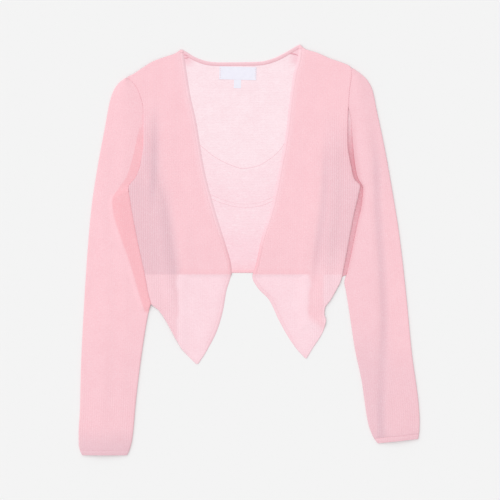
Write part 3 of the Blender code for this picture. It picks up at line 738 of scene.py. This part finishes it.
def lining_places(ramp, end):
    """Distances from the outer fold across the inside of a sleeve."""
    places = across(FOLD_WIDTH, ramp[0], PLAIN_COLUMN, 1.0) + across(ramp[1], end, PLAIN_COLUMN, 1.0)
    return [d for d in places if d <= end]


def sleeve_ramp(side, y, width):
    """Where the sleeve's underside climbs on to the strip of the back, and its height there."""
    if side.strip_bottom < y < side.strip_top:
        strip = min(abs(side.back_edge(y) - side.sleeve_outer(y)), width - 1.0)
        return (strip - STEP_CLEAR - STEP_RUN, strip - STEP_CLEAR), LAYER
    return [share * width for share in RAMP_SHARES], 0.0


def sleeve_row(side, y, is_folded):
    """One row round a sleeve, from its inner edge over the outer fold and back below."""
    outer_x = side.sleeve_outer(y)
    inner_x = sleeve_inner_edge(side, y)
    width = abs(outer_x - inner_x)
    middle_x = (outer_x + inner_x) / 2
    tilt = side.cuff_slope * down_from(y, -180, 100)
    ramp, climb = sleeve_ramp(side, y, width)
    end = width - FOLD_GAP if is_folded else width
    half = SLEEVE_EDGE_HEIGHT / 2
    # Painted shade on the folded edges
    edge_shade_tone = Tone(0.0, 0.0, EDGE_SHADE, 0.0)

    def base(distance):
        return climb * min(max((distance - ramp[0]) / (ramp[1] - ramp[0]), 0.0), 1.0)

    def top(distance):
        share = min(max(distance / width, 0.0), 1.0)
        x = outer_x - side.sign * distance
        puff = SLEEVE_PUFF * max(sin(pi * share), 0.0) ** 1.5 + fold_lift(side.sleeve_folds, x, y)
        inward = min(distance, width - distance)
        puff += 0.3 * unevenness(x, y, 5.0 + side.sign) * ease(inward / SOFT_EDGE)
        return base(distance) + max(puff, 0.0)

    def place(key, distance, z, tone=PLAIN_TONE):
        x = outer_x - side.sign * distance
        return Point(key, x, y + tilt * (x - middle_x), z, tone, distance / RIB_PITCH)

    def skin(distance):
        from_inner = width - distance
        rise = min(fold_rise(distance), fold_rise(from_inner) if is_folded else 1.0)
        gain = 0.28 + 0.5 * down_from(y, -170, 80)
        ribs = RIB_HEIGHT * gain * rib_wave(distance) * ease(min(distance, from_inner) / 3.0)
        z = top(distance) + SLEEVE_EDGE_HEIGHT * rise + ribs - 0.35 * bump((y - side.cuff_y) / 1.4)
        tone = sleeve_tone(side, outer_x - side.sign * distance, y, distance, from_inner)
        return place(-distance, distance, z, tone)

    outer = [skin(d) for d in skin_places(width, end)]
    outer.append(place(0.0, 0.0, half, edge_shade_tone))
    below = [(0.4, 0.2), (1.6, 0.02), (ramp[0], 0.0), (ramp[1], 0.0), (width - 1.6, 0.02)]
    below.append((end, 0.32 if is_folded else 0.0))
    for i, (d, up) in enumerate(below):
        outer.append(place(i + 1, d, base(d) + up * SLEEVE_EDGE_HEIGHT))

    inside = lining_places(ramp, width - FOLD_WIDTH if is_folded else width)
    inner = [place(-d, d, top(d) + SLEEVE_EDGE_HEIGHT - WALL) for d in reversed(inside)]
    inner.append(place(0.0, WALL, half))
    inner += [place(d / width, d, base(d) + WALL) for d in inside]
    centre = base(width) + half
    folds = (place(0.0, width, centre, edge_shade_tone), place(0.0, width - WALL, centre))
    return Row(outer, inner, folds if is_folded else ())


def cuff_row(side, y, depth):
    """One row round a cuff's hem, a little fuller in the middle of its depth."""
    row = sleeve_row(side, y, True)
    swell = 0.3 * sin(pi * depth) - 0.14
    # Painted shade over the cuff's hem, with a painted shadow line at its top and darker towards its
    # bottom
    deep = 0.2 * bump((depth - 0.08) / 0.2) + 0.12 * up_from(depth, 0.4, 0.5)
    tone = Tone(0.0, 0.2 + side.cuff_shade, deep * (0.4 + side.cuff_shade), 0.0)
    top = SLEEVE_EDGE_HEIGHT * 0.6
    outer = [p._replace(z=p.z + (swell if p.z > top else 0.0), tone=tone) for p in row.outer]
    return Row(outer, row.inner, row.folds)


def neck_drop(x):
    """Height across a row of the neck band."""
    return NECK_BAND_WIDTH * NECK_LINE.stretch(x)


def neck_top(x):
    """The upper edge of the neck band, drawn in between its two ends."""
    near_end = up_from(abs(x - NECK_MIDDLE), 65.0, 22.0)
    return NECK_LINE(x) - NECK_INSET * (1 - 0.7 * near_end)


def neck_row(x):
    """One row across the neck band, its bead on the upper edge."""
    drop = neck_drop(x)
    top = neck_top(x)
    points = []
    for share, height in NECK_SECTION:
        y = top - share * drop
        # Painted light on the upper bead, painted shade over the band and painted shadow along its lower
        # edge
        tone = Tone(0.6 * (1 - share), 0.22, 0.04 + 0.24 * bump((share - 0.85) / 0.3), 0.0)
        z = NECK_ROLL * height * ripple(x, 0.06) * BAND_HEIGHT
        points.append(Point(y, x, y, z, tone, x / RIPPLE_PITCH))
    return Row(sorted(points), flat_points(x, top - drop, top))


def hem_row(x):
    """One row across the narrow hem of the back."""
    points = []
    for share, height in HEM_SECTION:
        y = BACK_HEM_Y + share * HEM_WIDTH
        # Painted layer shade over the doubled hem, with painted shadow along its lower edge
        tone = Tone(0.0, 0.0, 0.05 * bump(share / 0.3), 0.22)
        points.append(Point(y, x, y, height * ripple(x, 0.05) * WALL, tone, x / RIPPLE_PITCH))
    return Row(points, flat_points(x, BACK_HEM_Y, BACK_HEM_Y + HEM_WIDTH))


def flat_points(x, *heights):
    """Points on the floor below a row that runs up a band."""
    return [Point(y, x, y, 0.0) for y in heights]


def back_top(x):
    """The upper edge of the back panel: the shoulders, and between them the neck."""
    neck_start = NECK_LINE.positions[0] - 1.5
    neck_end = NECK_LINE.positions[-1] + 1.5
    if neck_start <= x <= neck_end:
        return neck_top(x) - neck_drop(x) + SEAM_TUCK
    side = SIDES[0] if x < 0 else SIDES[1]
    line = side.front_side
    shoulder = [(px, py) for py, px in zip(line.positions, line.values) if py >= side.shoulder_y]
    return Edge(*shoulder)(x) - SHOULDER_INSET * 1.1


def back_limits(y):
    """Left and right ends of the back panel at a height."""
    right, left = SIDES
    if y > left.sleeve_inner.positions[-1]:
        return right.back_edge(y), left.front_side(y) - SEAM_TUCK
    return right.back_edge(y), left.sleeve_inner(y) + SEAM_TUCK


def back_tone(x, y):
    """How light, deep or warm the inside of the back is, a step lighter above each fine line, with
    painted shadow in the groove and painted shade in the neck's corners.
    """
    above_upper = ease((y - UPPER_LINE(x) + 2.0) / 14.0 + 0.5)
    above_lower = ease((y - LOWER_LINE(x) - 26.0) / 16.0 + 0.5)
    light = 0.36 * above_upper + 0.18 * above_lower + 0.46 * ease(y / 50.0)
    # Warmer towards the hem
    warm = 0.3 * down_from(y, BACK_HEM_Y + 24, 20)
    # Painted shadow in the groove beside the left front, and painted shade in the corners by the neck
    groove = ease((x - SIDES[1].front_side(y) + 3.0) / 4.0) if y < SHOULDER_Y else 0.0
    groove *= GROOVE_SHADOW_STRENGTH(y)
    corner = max(down_from(x, -80, 16), up_from(x, 58, 14)) * up_from(y, 280, 14)
    light *= (1 - groove) * (1 - corner)
    return Tone(light, 0.0, max(groove, 0.14 * corner), warm * (1 - groove))


def back_row(y_of, low, high):
    """One row across the inside of the back."""
    outer = []
    rim = 0.6
    for x in [low, low + rim] + spaced(low, high, BACK_COLUMN, 1.5) + [high - rim, high]:
        y = y_of(x)
        soft = BACK_WAVE * unevenness(x, y, 9.0) * ease(min(x - low, high - x) / 10.0)
        z = WALL * (0.75 if x in (low, high) else 1.0) + min(soft, BACK_WAVE) - KNIT_LIFT
        outer.append(Point(x, x, y, z, back_tone(x, y), x / RIB_PITCH))
    inner = [Point(x, x, y_of(x), 0.0) for x in across(low, high, 4 * BACK_COLUMN, COLUMN_CLEAR)]
    return Row(outer, inner)


def back_rows():
    """Rows of the back panel: bowed rows of the yoke, then straight ones down to the hem."""
    right, left = SIDES
    rows = []
    shoulder_low = right.front_side(right.shoulder_y) + SHOULDER_INSET + 1.5
    shoulder_high = left.front_side(left.shoulder_y) - SHOULDER_INSET - 1.5
    end_low, end_high = back_limits(YOKE_Y)
    for i in range(YOKE_ROWS):
        share = i / YOKE_ROWS
        low = shoulder_low + (end_low - shoulder_low) * share
        high = shoulder_high + (end_high - shoulder_high) * share
        rows.append(back_row(lambda x: back_top(x) * (1 - share) + YOKE_Y * share, low, high))
    hem_top = BACK_HEM_Y + HEM_WIDTH - SEAM_TUCK
    for y in heights_between(YOKE_Y, hem_top):
        rows.append(back_row(lambda x: y, *back_limits(y)))
    return rows


def tail_rows(side):
    """Rows of the longer side part of the back, under the front's point."""
    rows = []
    for y in heights_between(BACK_HEM_Y + HEM_WIDTH, side.tail_y):
        reach = side.front_side(y) - side.sign * TAIL_INSET
        if side.sign > 0:
            reach += (side.sleeve_inner(y) + SEAM_TUCK - reach) * up_from(y, GROOVE_END, 5)
        rows.append(back_row(lambda x: y, *sorted((side.notch_x, reach))))
    return rows


def fill_between(faces, first, second):
    """Fill between two lines of (key, index), stepping along the one whose next key is nearer."""
    i = 0
    j = 0
    while i < len(first) - 1 or j < len(second) - 1:
        next_first = first[i + 1][0] if i < len(first) - 1 else inf
        next_second = second[j + 1][0] if j < len(second) - 1 else inf
        to_i = i + (next_first < next_second + SAME_KEY)
        to_j = j + (next_second < next_first + SAME_KEY)
        corners = (first[i][1], first[to_i][1], second[to_j][1], second[j][1])
        faces.append(tuple(dict.fromkeys(corners)))
        i = to_i
        j = to_j


def ring_ends(row):
    """The outer and inner end points of a row, as (outer, inner) pairs."""
    return [(row.outer[end][1], row.inner[end][1]) for end in (0, -1)]


def close_fold(faces, row):
    """Fill the wall's thickness across the fold that joins the two ends of a row."""
    for end_outer, end_inner in ring_ends(row):
        faces.append((end_outer, row.folds[0][1], row.folds[1][1], end_inner))


def join_row_ends(faces, above, below):
    """Join two rows at their ends, by a folded edge or by the thickness of a cut edge."""
    if above.folds and below.folds:
        for skin in (0, 1):
            for end in (0, 1):
                top = ring_ends(above)[end][skin]
                bottom = ring_ends(below)[end][skin]
                faces.append((top, above.folds[skin][1], below.folds[skin][1], bottom))
        return
    for (top_outer, top_inner), (low_outer, low_inner) in zip(ring_ends(above), ring_ends(below)):
        faces.append((top_outer, top_inner, low_inner, low_outer))
    if below.folds:
        close_fold(faces, below)


def cap_row(faces, row):
    """Fill the thickness of the wall along its first or last row."""
    fill_between(faces, row.outer, row.inner)
    if row.folds:
        close_fold(faces, row)


def finish_mesh(bm, mesh):
    """Write what was built in a bmesh to a mesh, smooth all over."""
    bm.to_mesh(mesh)
    bm.free()
    mesh.shade_smooth()
    return mesh


def add_piece(name, data, material):
    """Add one named piece that rides on the garment's body."""
    piece = bpy.data.objects.new(name, data)
    piece.data.materials.append(material)
    bpy.context.scene.collection.objects.link(piece)
    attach(piece, "root")
    return piece


def build_wall(name, rows, material):
    """Build a closed wall of cloth from rows that hold its outer and inner points."""
    points = []
    faces = []

    def number(chain):
        start = len(points)
        points.extend(chain)
        return [(p.key, start + i) for i, p in enumerate(chain)]

    laid = [Row(*(number(chain) for chain in row)) for row in rows]
    for above, below in zip(laid, laid[1:]):
        fill_between(faces, above.outer, below.outer)
        fill_between(faces, above.inner, below.inner)
        join_row_ends(faces, above, below)
    cap_row(faces, laid[0])
    cap_row(faces, laid[-1])
    mesh = bpy.data.meshes.new(name)
    mesh.from_pydata([(p.x * MM, p.y * MM, p.z * MM) for p in points], [], faces)
    # The tone attribute carries each point's painted light and shade
    mesh.attributes.new("tone", "FLOAT_COLOR", "POINT")
    mesh.attributes.new("wale", "FLOAT", "POINT")
    tones = [share for p in points for share in p.tone]
    mesh.attributes["tone"].data.foreach_set("color", tones)
    mesh.attributes["wale"].data.foreach_set("value", [p.wale for p in points])
    bm = bmesh.new()
    bm.from_mesh(mesh)
    bmesh.ops.recalc_face_normals(bm, faces=bm.faces)
    finish_mesh(bm, mesh)
    mesh.set_sharp_from_angle(angle=SHARP_ANGLE)
    return add_piece(name, mesh, material)


class Nodes:
    """A small helper that adds shader nodes, and sets or links their inputs."""

    def __init__(self, name):
        self.material = bpy.data.materials.new(name)
        self.material.use_nodes = True
        self.tree = self.material.node_tree
        self.shader = self.tree.nodes["Principled BSDF"]

    def fill(self, node, inputs):
        for key, value in inputs.items():
            if isinstance(value, bpy.types.NodeSocket):
                self.tree.links.new(value, node.inputs[key])
            else:
                node.inputs[key].default_value = value

    def add(self, kind, inputs=None, **settings):
        node = self.tree.nodes.new(kind)
        for key, value in settings.items():
            setattr(node, key, value)
        self.fill(node, inputs or {})
        return node

    def math(self, operation, *values):
        return self.add("ShaderNodeMath", dict(enumerate(values)), operation=operation).outputs[0]

    def mix(self, factor, first, second):
        node = self.add("ShaderNodeMix", {0: factor, 6: first, 7: second}, data_type="RGBA")
        return node.outputs[2]

    def remap(self, value, source, target):
        names = ("Value", "From Min", "From Max", "To Min", "To Max")
        node = self.add("ShaderNodeMapRange", dict(zip(names, (value, *source, *target))))
        return node.outputs["Result"]

    def place(self):
        return self.add("ShaderNodeTexCoord").outputs["Object"]

    def noise(self, scale, detail=2.0, roughness=0.5, stretch=1.0):
        scales = {"Vector": self.place(), "Scale": (1.0, stretch, 1.0)}
        mapping = self.add("ShaderNodeMapping", scales)
        inputs = {"Scale": scale, "Detail": detail, "Roughness": roughness}
        inputs["Vector"] = mapping.outputs["Vector"]
        return self.add("ShaderNodeTexNoise", inputs).outputs["Fac"]

    def bump(self, height, strength, distance, **inputs):
        inputs.update(Height=height, Strength=strength, Distance=distance)
        return self.add("ShaderNodeBump", inputs).outputs["Normal"]


def stitch_height(nodes, depth):
    """Small slanted stitches: rows of V shapes, one column of them on each rib."""
    wale = nodes.add("ShaderNodeAttribute", attribute_name="wale").outputs["Fac"]
    rib_share = nodes.math("FRACT", wale)
    side = nodes.math("ABSOLUTE", nodes.math("SUBTRACT", rib_share, 0.5))
    split = nodes.add("ShaderNodeSeparateXYZ", {0: nodes.place()})
    along = nodes.math("DIVIDE", split.outputs["Y"], COURSE * MM)
    phase = nodes.math("ADD", along, nodes.math("MULTIPLY", side, depth))
    wave = nodes.math("SINE", nodes.math("MULTIPLY", phase, 2 * pi))
    return nodes.math("MULTIPLY_ADD", wave, 0.5)


def make_knit(name, base, thin, ribbed=True):
    """Fine knit: its tones are painted light and shade for the layers below it, with stitches, fuzz and
    a soft sheen.
    """
    nodes = Nodes(name)
    tone = nodes.add("ShaderNodeAttribute", attribute_name="tone")
    parts = nodes.add("ShaderNodeSeparateColor", {0: tone.outputs["Color"]})
    # Painted light through a single layer, then painted shade, painted shadow and painted layer shade
    # from the tone attribute
    colour = nodes.mix(parts.outputs[0], base, thin)
    if not ribbed:
        streak = nodes.remap(nodes.noise(75.0, 2.0, 0.6, 3.4), (0.52, 0.74), (0.0, 0.32))
        colour = nodes.mix(streak, colour, STREAK)
    colour = nodes.mix(parts.outputs[1], colour, KNIT_SHADE)
    colour = nodes.mix(parts.outputs[2], colour, KNIT_DEEP_AND_SHADOW)
    colour = nodes.mix(tone.outputs["Alpha"], colour, KNIT_LAYER_SHADE)
    for noise, limits, strength, speckle in SPECKLES:
        share = nodes.remap(nodes.noise(*noise), limits, (0.0, strength))
        colour = nodes.mix(share, colour, speckle)
    rough = nodes.remap(nodes.noise(240.0), (0.0, 1.0), (0.82, 1.0))
    stitches = nodes.bump(stitch_height(nodes, 0.7 if ribbed else 0.15), 0.35, 0.0003)
    fibres = nodes.bump(nodes.noise(1500.0, 3.0, 0.7), 0.3, 0.0002, Normal=stitches)
    nodes.fill(nodes.shader, {"Base Color": colour, "Roughness": rough, "Normal": fibres})
    nodes.fill(nodes.shader, {"Sheen Weight": 0.18, "Sheen Roughness": 0.55, "Specular IOR Level": 0.2})
    return nodes.material


def make_label():
    """Blank woven satin: a fine diagonal weave."""
    nodes = Nodes("woven_label")
    inputs = {"Vector": nodes.place(), "Scale": 420.0, "Distortion": 0.6}
    weave = nodes.add("ShaderNodeTexWave", inputs, wave_type="BANDS", bands_direction="DIAGONAL")
    worn = nodes.math("MULTIPLY", nodes.noise(160.0), 0.5)
    relief = nodes.bump(weave.outputs["Fac"], 0.25, 0.0002)
    nodes.fill(nodes.shader, {"Base Color": nodes.mix(worn, LABEL_WHITE, LABEL_LINE), "Normal": relief})
    nodes.fill(nodes.shader, {"Roughness": 0.55, "Sheen Weight": 0.2})
    return nodes.material


def make_thread(name, colour):
    """Sewing thread with a fine twist."""
    nodes = Nodes(name)
    twist = nodes.remap(nodes.noise(700.0), (0.3, 0.7), (0.0, 0.4))
    nodes.fill(nodes.shader, {"Base Color": nodes.mix(twist, colour, KNIT_DEEP_AND_SHADOW), "Roughness": 0.7})
    return nodes.material


def turned(x, y, centre, angle):
    """A place turned about a centre that it is given from."""
    return centre[0] + x * cos(angle) - y * sin(angle), centre[1] + x * sin(angle) + y * cos(angle)


def build_cord(name, places, radius, material):
    """A raised thread through places given as (x, y, z, share of its radius)."""
    curve = bpy.data.curves.new(name, "CURVE")
    curve.dimensions = "3D"
    curve.bevel_depth = radius * MM
    curve.bevel_resolution = 2
    curve.use_fill_caps = True
    spline = curve.splines.new("POLY")
    spline.points.add(len(places) - 1)
    for point, (x, y, z, share) in zip(spline.points, places):
        point.co = (x * MM, y * MM, z * MM, 1.0)
        point.radius = share
    return add_piece(name, curve, material)


def build_line(name, line, radius, material):
    """A fine raised line on the inside of the back."""
    ends = line.positions[0], line.positions[-1]
    places = rows_along(lambda x: (x, line(x), LINE_BASE, 1.0), *ends, LINE_STEPS)
    return build_cord(name, places, radius, material)


def build_tucks(side, material):
    """Small creases where the neck band turns under the front at the shoulder, drawn as raised cords
    whose darker pink is painted shade.
    """
    pieces = []
    for i, (x, y, length, turn, bend, thickness) in enumerate(NECK_TUCKS[side.name]):
        places = []
        for j in range(TUCK_STEPS + 1):
            t = j / TUCK_STEPS
            swell = sin(pi * t)
            place = turned((t - 0.5) * length, bend * swell, (x, y), radians(turn))
            places.append((*place, TUCK_BASE, 0.2 + 0.8 * swell))
        pieces.append(build_cord(side.name + "_neck_tuck_" + str(i + 1), places, thickness, material))
    return pieces


def build_stitches(name, places, length, material):
    """A row of small stitches at places given as (x, y, z, direction)."""
    bm = bmesh.new()
    for x, y, z, direction in places:
        made = bmesh.ops.create_uvsphere(bm, u_segments=8, v_segments=6, radius=0.5)
        for vertex in made["verts"]:
            along = vertex.co.x * length
            sideways = vertex.co.y * STITCH_WIDTH
            vertex.co.xy = [n * MM for n in turned(along, sideways, (x, y), direction)]
            vertex.co.z = (z + vertex.co.z * STITCH_WIDTH) * MM
    return add_piece(name, finish_mesh(bm, bpy.data.meshes.new(name)), material)


def label_places():
    """Places of the stitches down both ends of the label."""
    count = int((LABEL_SIZE[1] - 2.0) / LABEL_STITCH_PITCH)
    reach = LABEL_SIZE[0] / 2 - LABEL_STITCH_INSET
    places = []
    for x in (-reach, reach):
        for i in range(count):
            y = (i - (count - 1) / 2) * LABEL_STITCH_PITCH
            place = turned(x, y, LABEL_CENTRE, LABEL_TURN)
            places.append((*place, LABEL_BASE + LABEL_STITCH_LIFT, LABEL_TURN + pi / 2))
    return places


def armhole_places(side):
    """Places of the stitches along the armhole seam, from the shoulder to the underarm."""
    places = []
    y = side.shoulder_y - 4.0
    while y > side.underarm + 8.0:
        slope = (side.front_side(y + 1) - side.front_side(y - 1)) / 2
        x = side.front_side(y) - side.sign * ARMHOLE_STITCH_SHIFT
        places.append((x, y, LAYER + WALL + ARMHOLE_STITCH_LIFT, atan2(1.0, slope)))
        y -= ARMHOLE_STITCH_PITCH
    return places


def rimmed(steps):
    """Places from -1 to 1 with a narrow one at each end, so that the rim looks crisp."""
    inner = [i / steps * 2 - 1 for i in range(1, steps)]
    return [-1.0, -RIM_PLACE] + inner + [RIM_PLACE, 1.0]


def build_tag(name, size, centre, material):
    """A thin woven tag with slightly lifted corners."""
    bm = bmesh.new()
    grid = []
    for v in rimmed(12):
        line = []
        for u in rimmed(24):
            lift = LABEL_LIFT * (u * u) ** 2 * (v * v) + LABEL_WAVE * sin(u * 5 + v * 2)
            x, y = turned(u * size[0] / 2, v * size[1] / 2, centre, LABEL_TURN)
            line.append(bm.verts.new((x * MM, y * MM, (LABEL_BASE + lift) * MM)))
        grid.append(line)
    for near, far in zip(grid, grid[1:]):
        for i in range(len(near) - 1):
            bm.faces.new((near[i], near[i + 1], far[i + 1], far[i]))
    tag = add_piece(name, finish_mesh(bm, bpy.data.meshes.new(name)), material)
    thickness = tag.modifiers.new("thickness", "SOLIDIFY")
    thickness.thickness = size[2] * 0.6 * MM
    thickness.offset = 1.0
    return tag


def build_labels(label, thread):
    """The blank label and tab, with the stitches at the label's two ends."""
    tag = build_tag("woven_label", LABEL_SIZE, LABEL_CENTRE, label)
    drop = LABEL_SIZE[1] / 2 * cos(LABEL_TURN) + TAB_SIZE[1] / 2 + TAB_GAP
    tab_centre = (LABEL_CENTRE[0] + TAB_SHIFT, LABEL_CENTRE[1] - drop)
    tab = build_tag("blank_tab", TAB_SIZE, tab_centre, label)
    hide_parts("neck_label")
    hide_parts("size_tab")
    stitches = build_stitches("label_stitches", label_places(), LABEL_STITCH_LENGTH, thread)
    return [tag, tab, stitches]


def rows_along(row, start, end, count):
    """Rows, or places on a line, an even step apart from a start to an end."""
    return [row(start + (end - start) * i / count) for i in range(count + 1)]


def flat_area(rows, layers=1):
    """Flat area of a panel, or of a tube's two layers, from the widths of its rows, in square metres."""
    total = 0.0
    for above, below in zip(rows, rows[1:]):
        widths = [max(p.x for p in row.outer) - min(p.x for p in row.outer) for row in (above, below)]
        total += layers * sum(widths) / 2 * abs(above.outer[0].y - below.outer[0].y)
    return total * MM * MM


def declare_sheet(piece, area):
    """Work out the width and length of a flat piece's cut, from its own box or from a tube's area and a
    taper allowance; nothing is kept.
    """
    corners = [piece.matrix_world @ v.co for v in piece.data.vertices]
    width = max(c.x for c in corners) - min(c.x for c in corners)
    length = max(c.y for c in corners) - min(c.y for c in corners)
    if area > width * length:
        width = area / length * TAPER_ALLOWANCE


def dress_back(inside, edging, label, thread):
    """The back panel with its hem, neck band, labels and fine lines."""
    rows = back_rows()
    back = build_wall("back_inside", rows, inside)
    tails = [build_wall("back_" + side.name + "_tail", tail_rows(side), inside) for side in SIDES]
    ends = NECK_LINE.positions[0], NECK_LINE.positions[-1]
    neck = build_wall("neck_band", rows_along(neck_row, *ends, NECK_ROWS), edging)
    ends = SIDES[0].notch_x, SIDES[1].notch_x
    hem = build_wall("back_hem_edge", rows_along(hem_row, *ends, HEM_ROWS), edging)
    lines = [build_line("back_line_" + line[0], *line[1:], thread) for line in FINE_LINES]
    labels = build_labels(label, thread)
    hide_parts("back_panel")
    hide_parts("back_hem")
    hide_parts("back_neck_band")
    declare_sheet(back, flat_area(rows))
    return back


def dress_front(side, knit, edging, seam_thread_and_crease_shade):
    """A front with its rolled band, armhole stitches and creases at the neck."""
    marks = [side.shoulder_y, BACK_HEM_Y - STEP_CLEAR, BACK_HEM_Y - STEP_CLEAR - STEP_RUN]
    marks += [side.band_top + d for d in BAND_MARKS] + [side.band_end - d for d in BAND_MARKS]
    marks += [y for y in side.front_side.positions if y < -45.0 or y > 90.0]
    heights = heights_between(side.front_top, side.shoulder_y, marks, FINE_ROW_STEP)
    heights += heights_between(side.shoulder_y, BACK_HEM_Y, marks)[1:]
    heights += heights_between(BACK_HEM_Y, side.front_bottom, marks, FINE_ROW_STEP)[1:]
    rows = [front_row(side, y) for y in heights]
    front = build_wall(side.name + "_front_panel", rows, knit)
    top = side.band_top + BAND_TOP_OVERLAP
    end = side.band_end + BAND_END_INSET
    band_rows = rows_along(lambda y: front_band_row(side, y), top, end, int((top - end) / BAND_ROW_STEP))
    band = build_wall(side.name + "_front_rolled_band", band_rows, edging)
    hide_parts(side.name + "_front")
    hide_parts(side.name + "_front_band")
    places = armhole_places(side)
    seam = build_stitches(side.name + "_armhole_stitches", places, ARMHOLE_STITCH_LENGTH, seam_thread_and_crease_shade)
    tucks = build_tucks(side, seam_thread_and_crease_shade)
    declare_sheet(front, flat_area(rows))


def dress_sleeve(side, knit, edging):
    """A sleeve with the narrow hem of its cuff."""
    marks = [side.underarm, side.cuff_y + 1.6, side.cuff_y + 0.7]
    crown_end = side.sleeve_top - CROWN_DEPTH
    heights = heights_between(side.sleeve_top, crown_end, step=FINE_ROW_STEP)
    heights += heights_between(crown_end, side.cuff_y, marks)[1:]
    rows = [sleeve_row(side, y, y <= side.underarm) for y in heights]
    sleeve = build_wall(side.name + "_sleeve_tube", rows, knit)
    top = side.cuff_y + CUFF_TUCK
    run = CUFF_HEM + CUFF_GAP + CUFF_TUCK
    depths = [i / CUFF_ROWS for i in range(CUFF_ROWS + 1)]
    cuff_rows = [cuff_row(side, top - run * depth, depth) for depth in depths]
    cuff = build_wall(side.name + "_cuff_edge", cuff_rows, edging)
    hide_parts(side.name + "_sleeve")
    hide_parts(side.name + "_cuff_hem")
    declare_sheet(sleeve, flat_area(rows, layers=2))


def build_floor():
    """A plain pale floor."""
    bm = bmesh.new()
    bmesh.ops.create_grid(bm, x_segments=1, y_segments=1, size=FLOOR_REACH)
    nodes = Nodes("pale_floor")
    nodes.fill(nodes.shader, {"Base Color": FLOOR_COLOUR, "Roughness": 0.9, "Specular IOR Level": 0.1})
    floor = bpy.data.objects.new("floor", finish_mesh(bm, bpy.data.meshes.new("floor")))
    floor.data.materials.append(nodes.material)
    bpy.context.scene.collection.objects.link(floor)


def build_light():
    """Soft studio light: an even surround and one broad lamp from the upper left."""
    world = bpy.data.worlds.new("studio")
    bpy.context.scene.world = world
    world.use_nodes = True
    background = world.node_tree.nodes["Background"]
    background.inputs["Color"].default_value = (1.0, 1.0, 1.0, 1.0)
    background.inputs["Strength"].default_value = SURROUND_STRENGTH
    lamp = bpy.data.lights.new("soft_lamp", "SUN")
    lamp.energy = LAMP_STRENGTH
    lamp.angle = LAMP_SPREAD
    light = bpy.data.objects.new("soft_lamp", lamp)
    light.rotation_euler = LAMP_TURN
    bpy.context.scene.collection.objects.link(light)


def build_camera():
    """A camera straight above, framed as the photo is."""
    camera_data = bpy.data.cameras.new("camera")
    camera_data.sensor_width = SENSOR
    camera_data.lens = SENSOR * CAMERA_HEIGHT / (FRAME_WIDTH * MM)
    camera = bpy.data.objects.new("camera", camera_data)
    camera.location = (FRAME_CENTRE[0] * MM, FRAME_CENTRE[1] * MM, CAMERA_HEIGHT)
    bpy.context.scene.collection.objects.link(camera)
    bpy.context.scene.camera = camera
    bpy.context.scene.view_settings.view_transform = "Standard"


def dress_cardigan():
    """Dress the whole garment and light it."""
    build_camera()
    build_light()
    build_floor()
    knit = make_knit("pink_rib_knit", KNIT, KNIT_LIT_THROUGH)
    edging = make_knit("pink_band_knit", KNIT, KNIT_LIT_THROUGH)
    inside = make_knit("pink_knit_inside", INSIDE, INSIDE_LIGHT, ribbed=False)
    label = make_label()
    thread = make_thread("pink_thread", THREAD)
    seam_thread_and_crease_shade = make_thread("pink_seam_thread", SEAM_THREAD_AND_CREASE_SHADE)
    back = dress_back(inside, edging, label, thread)
    for side in SIDES:
        dress_front(side, knit, edging, seam_thread_and_crease_shade)
        dress_sleeve(side, knit, edging)


dress_cardigan()
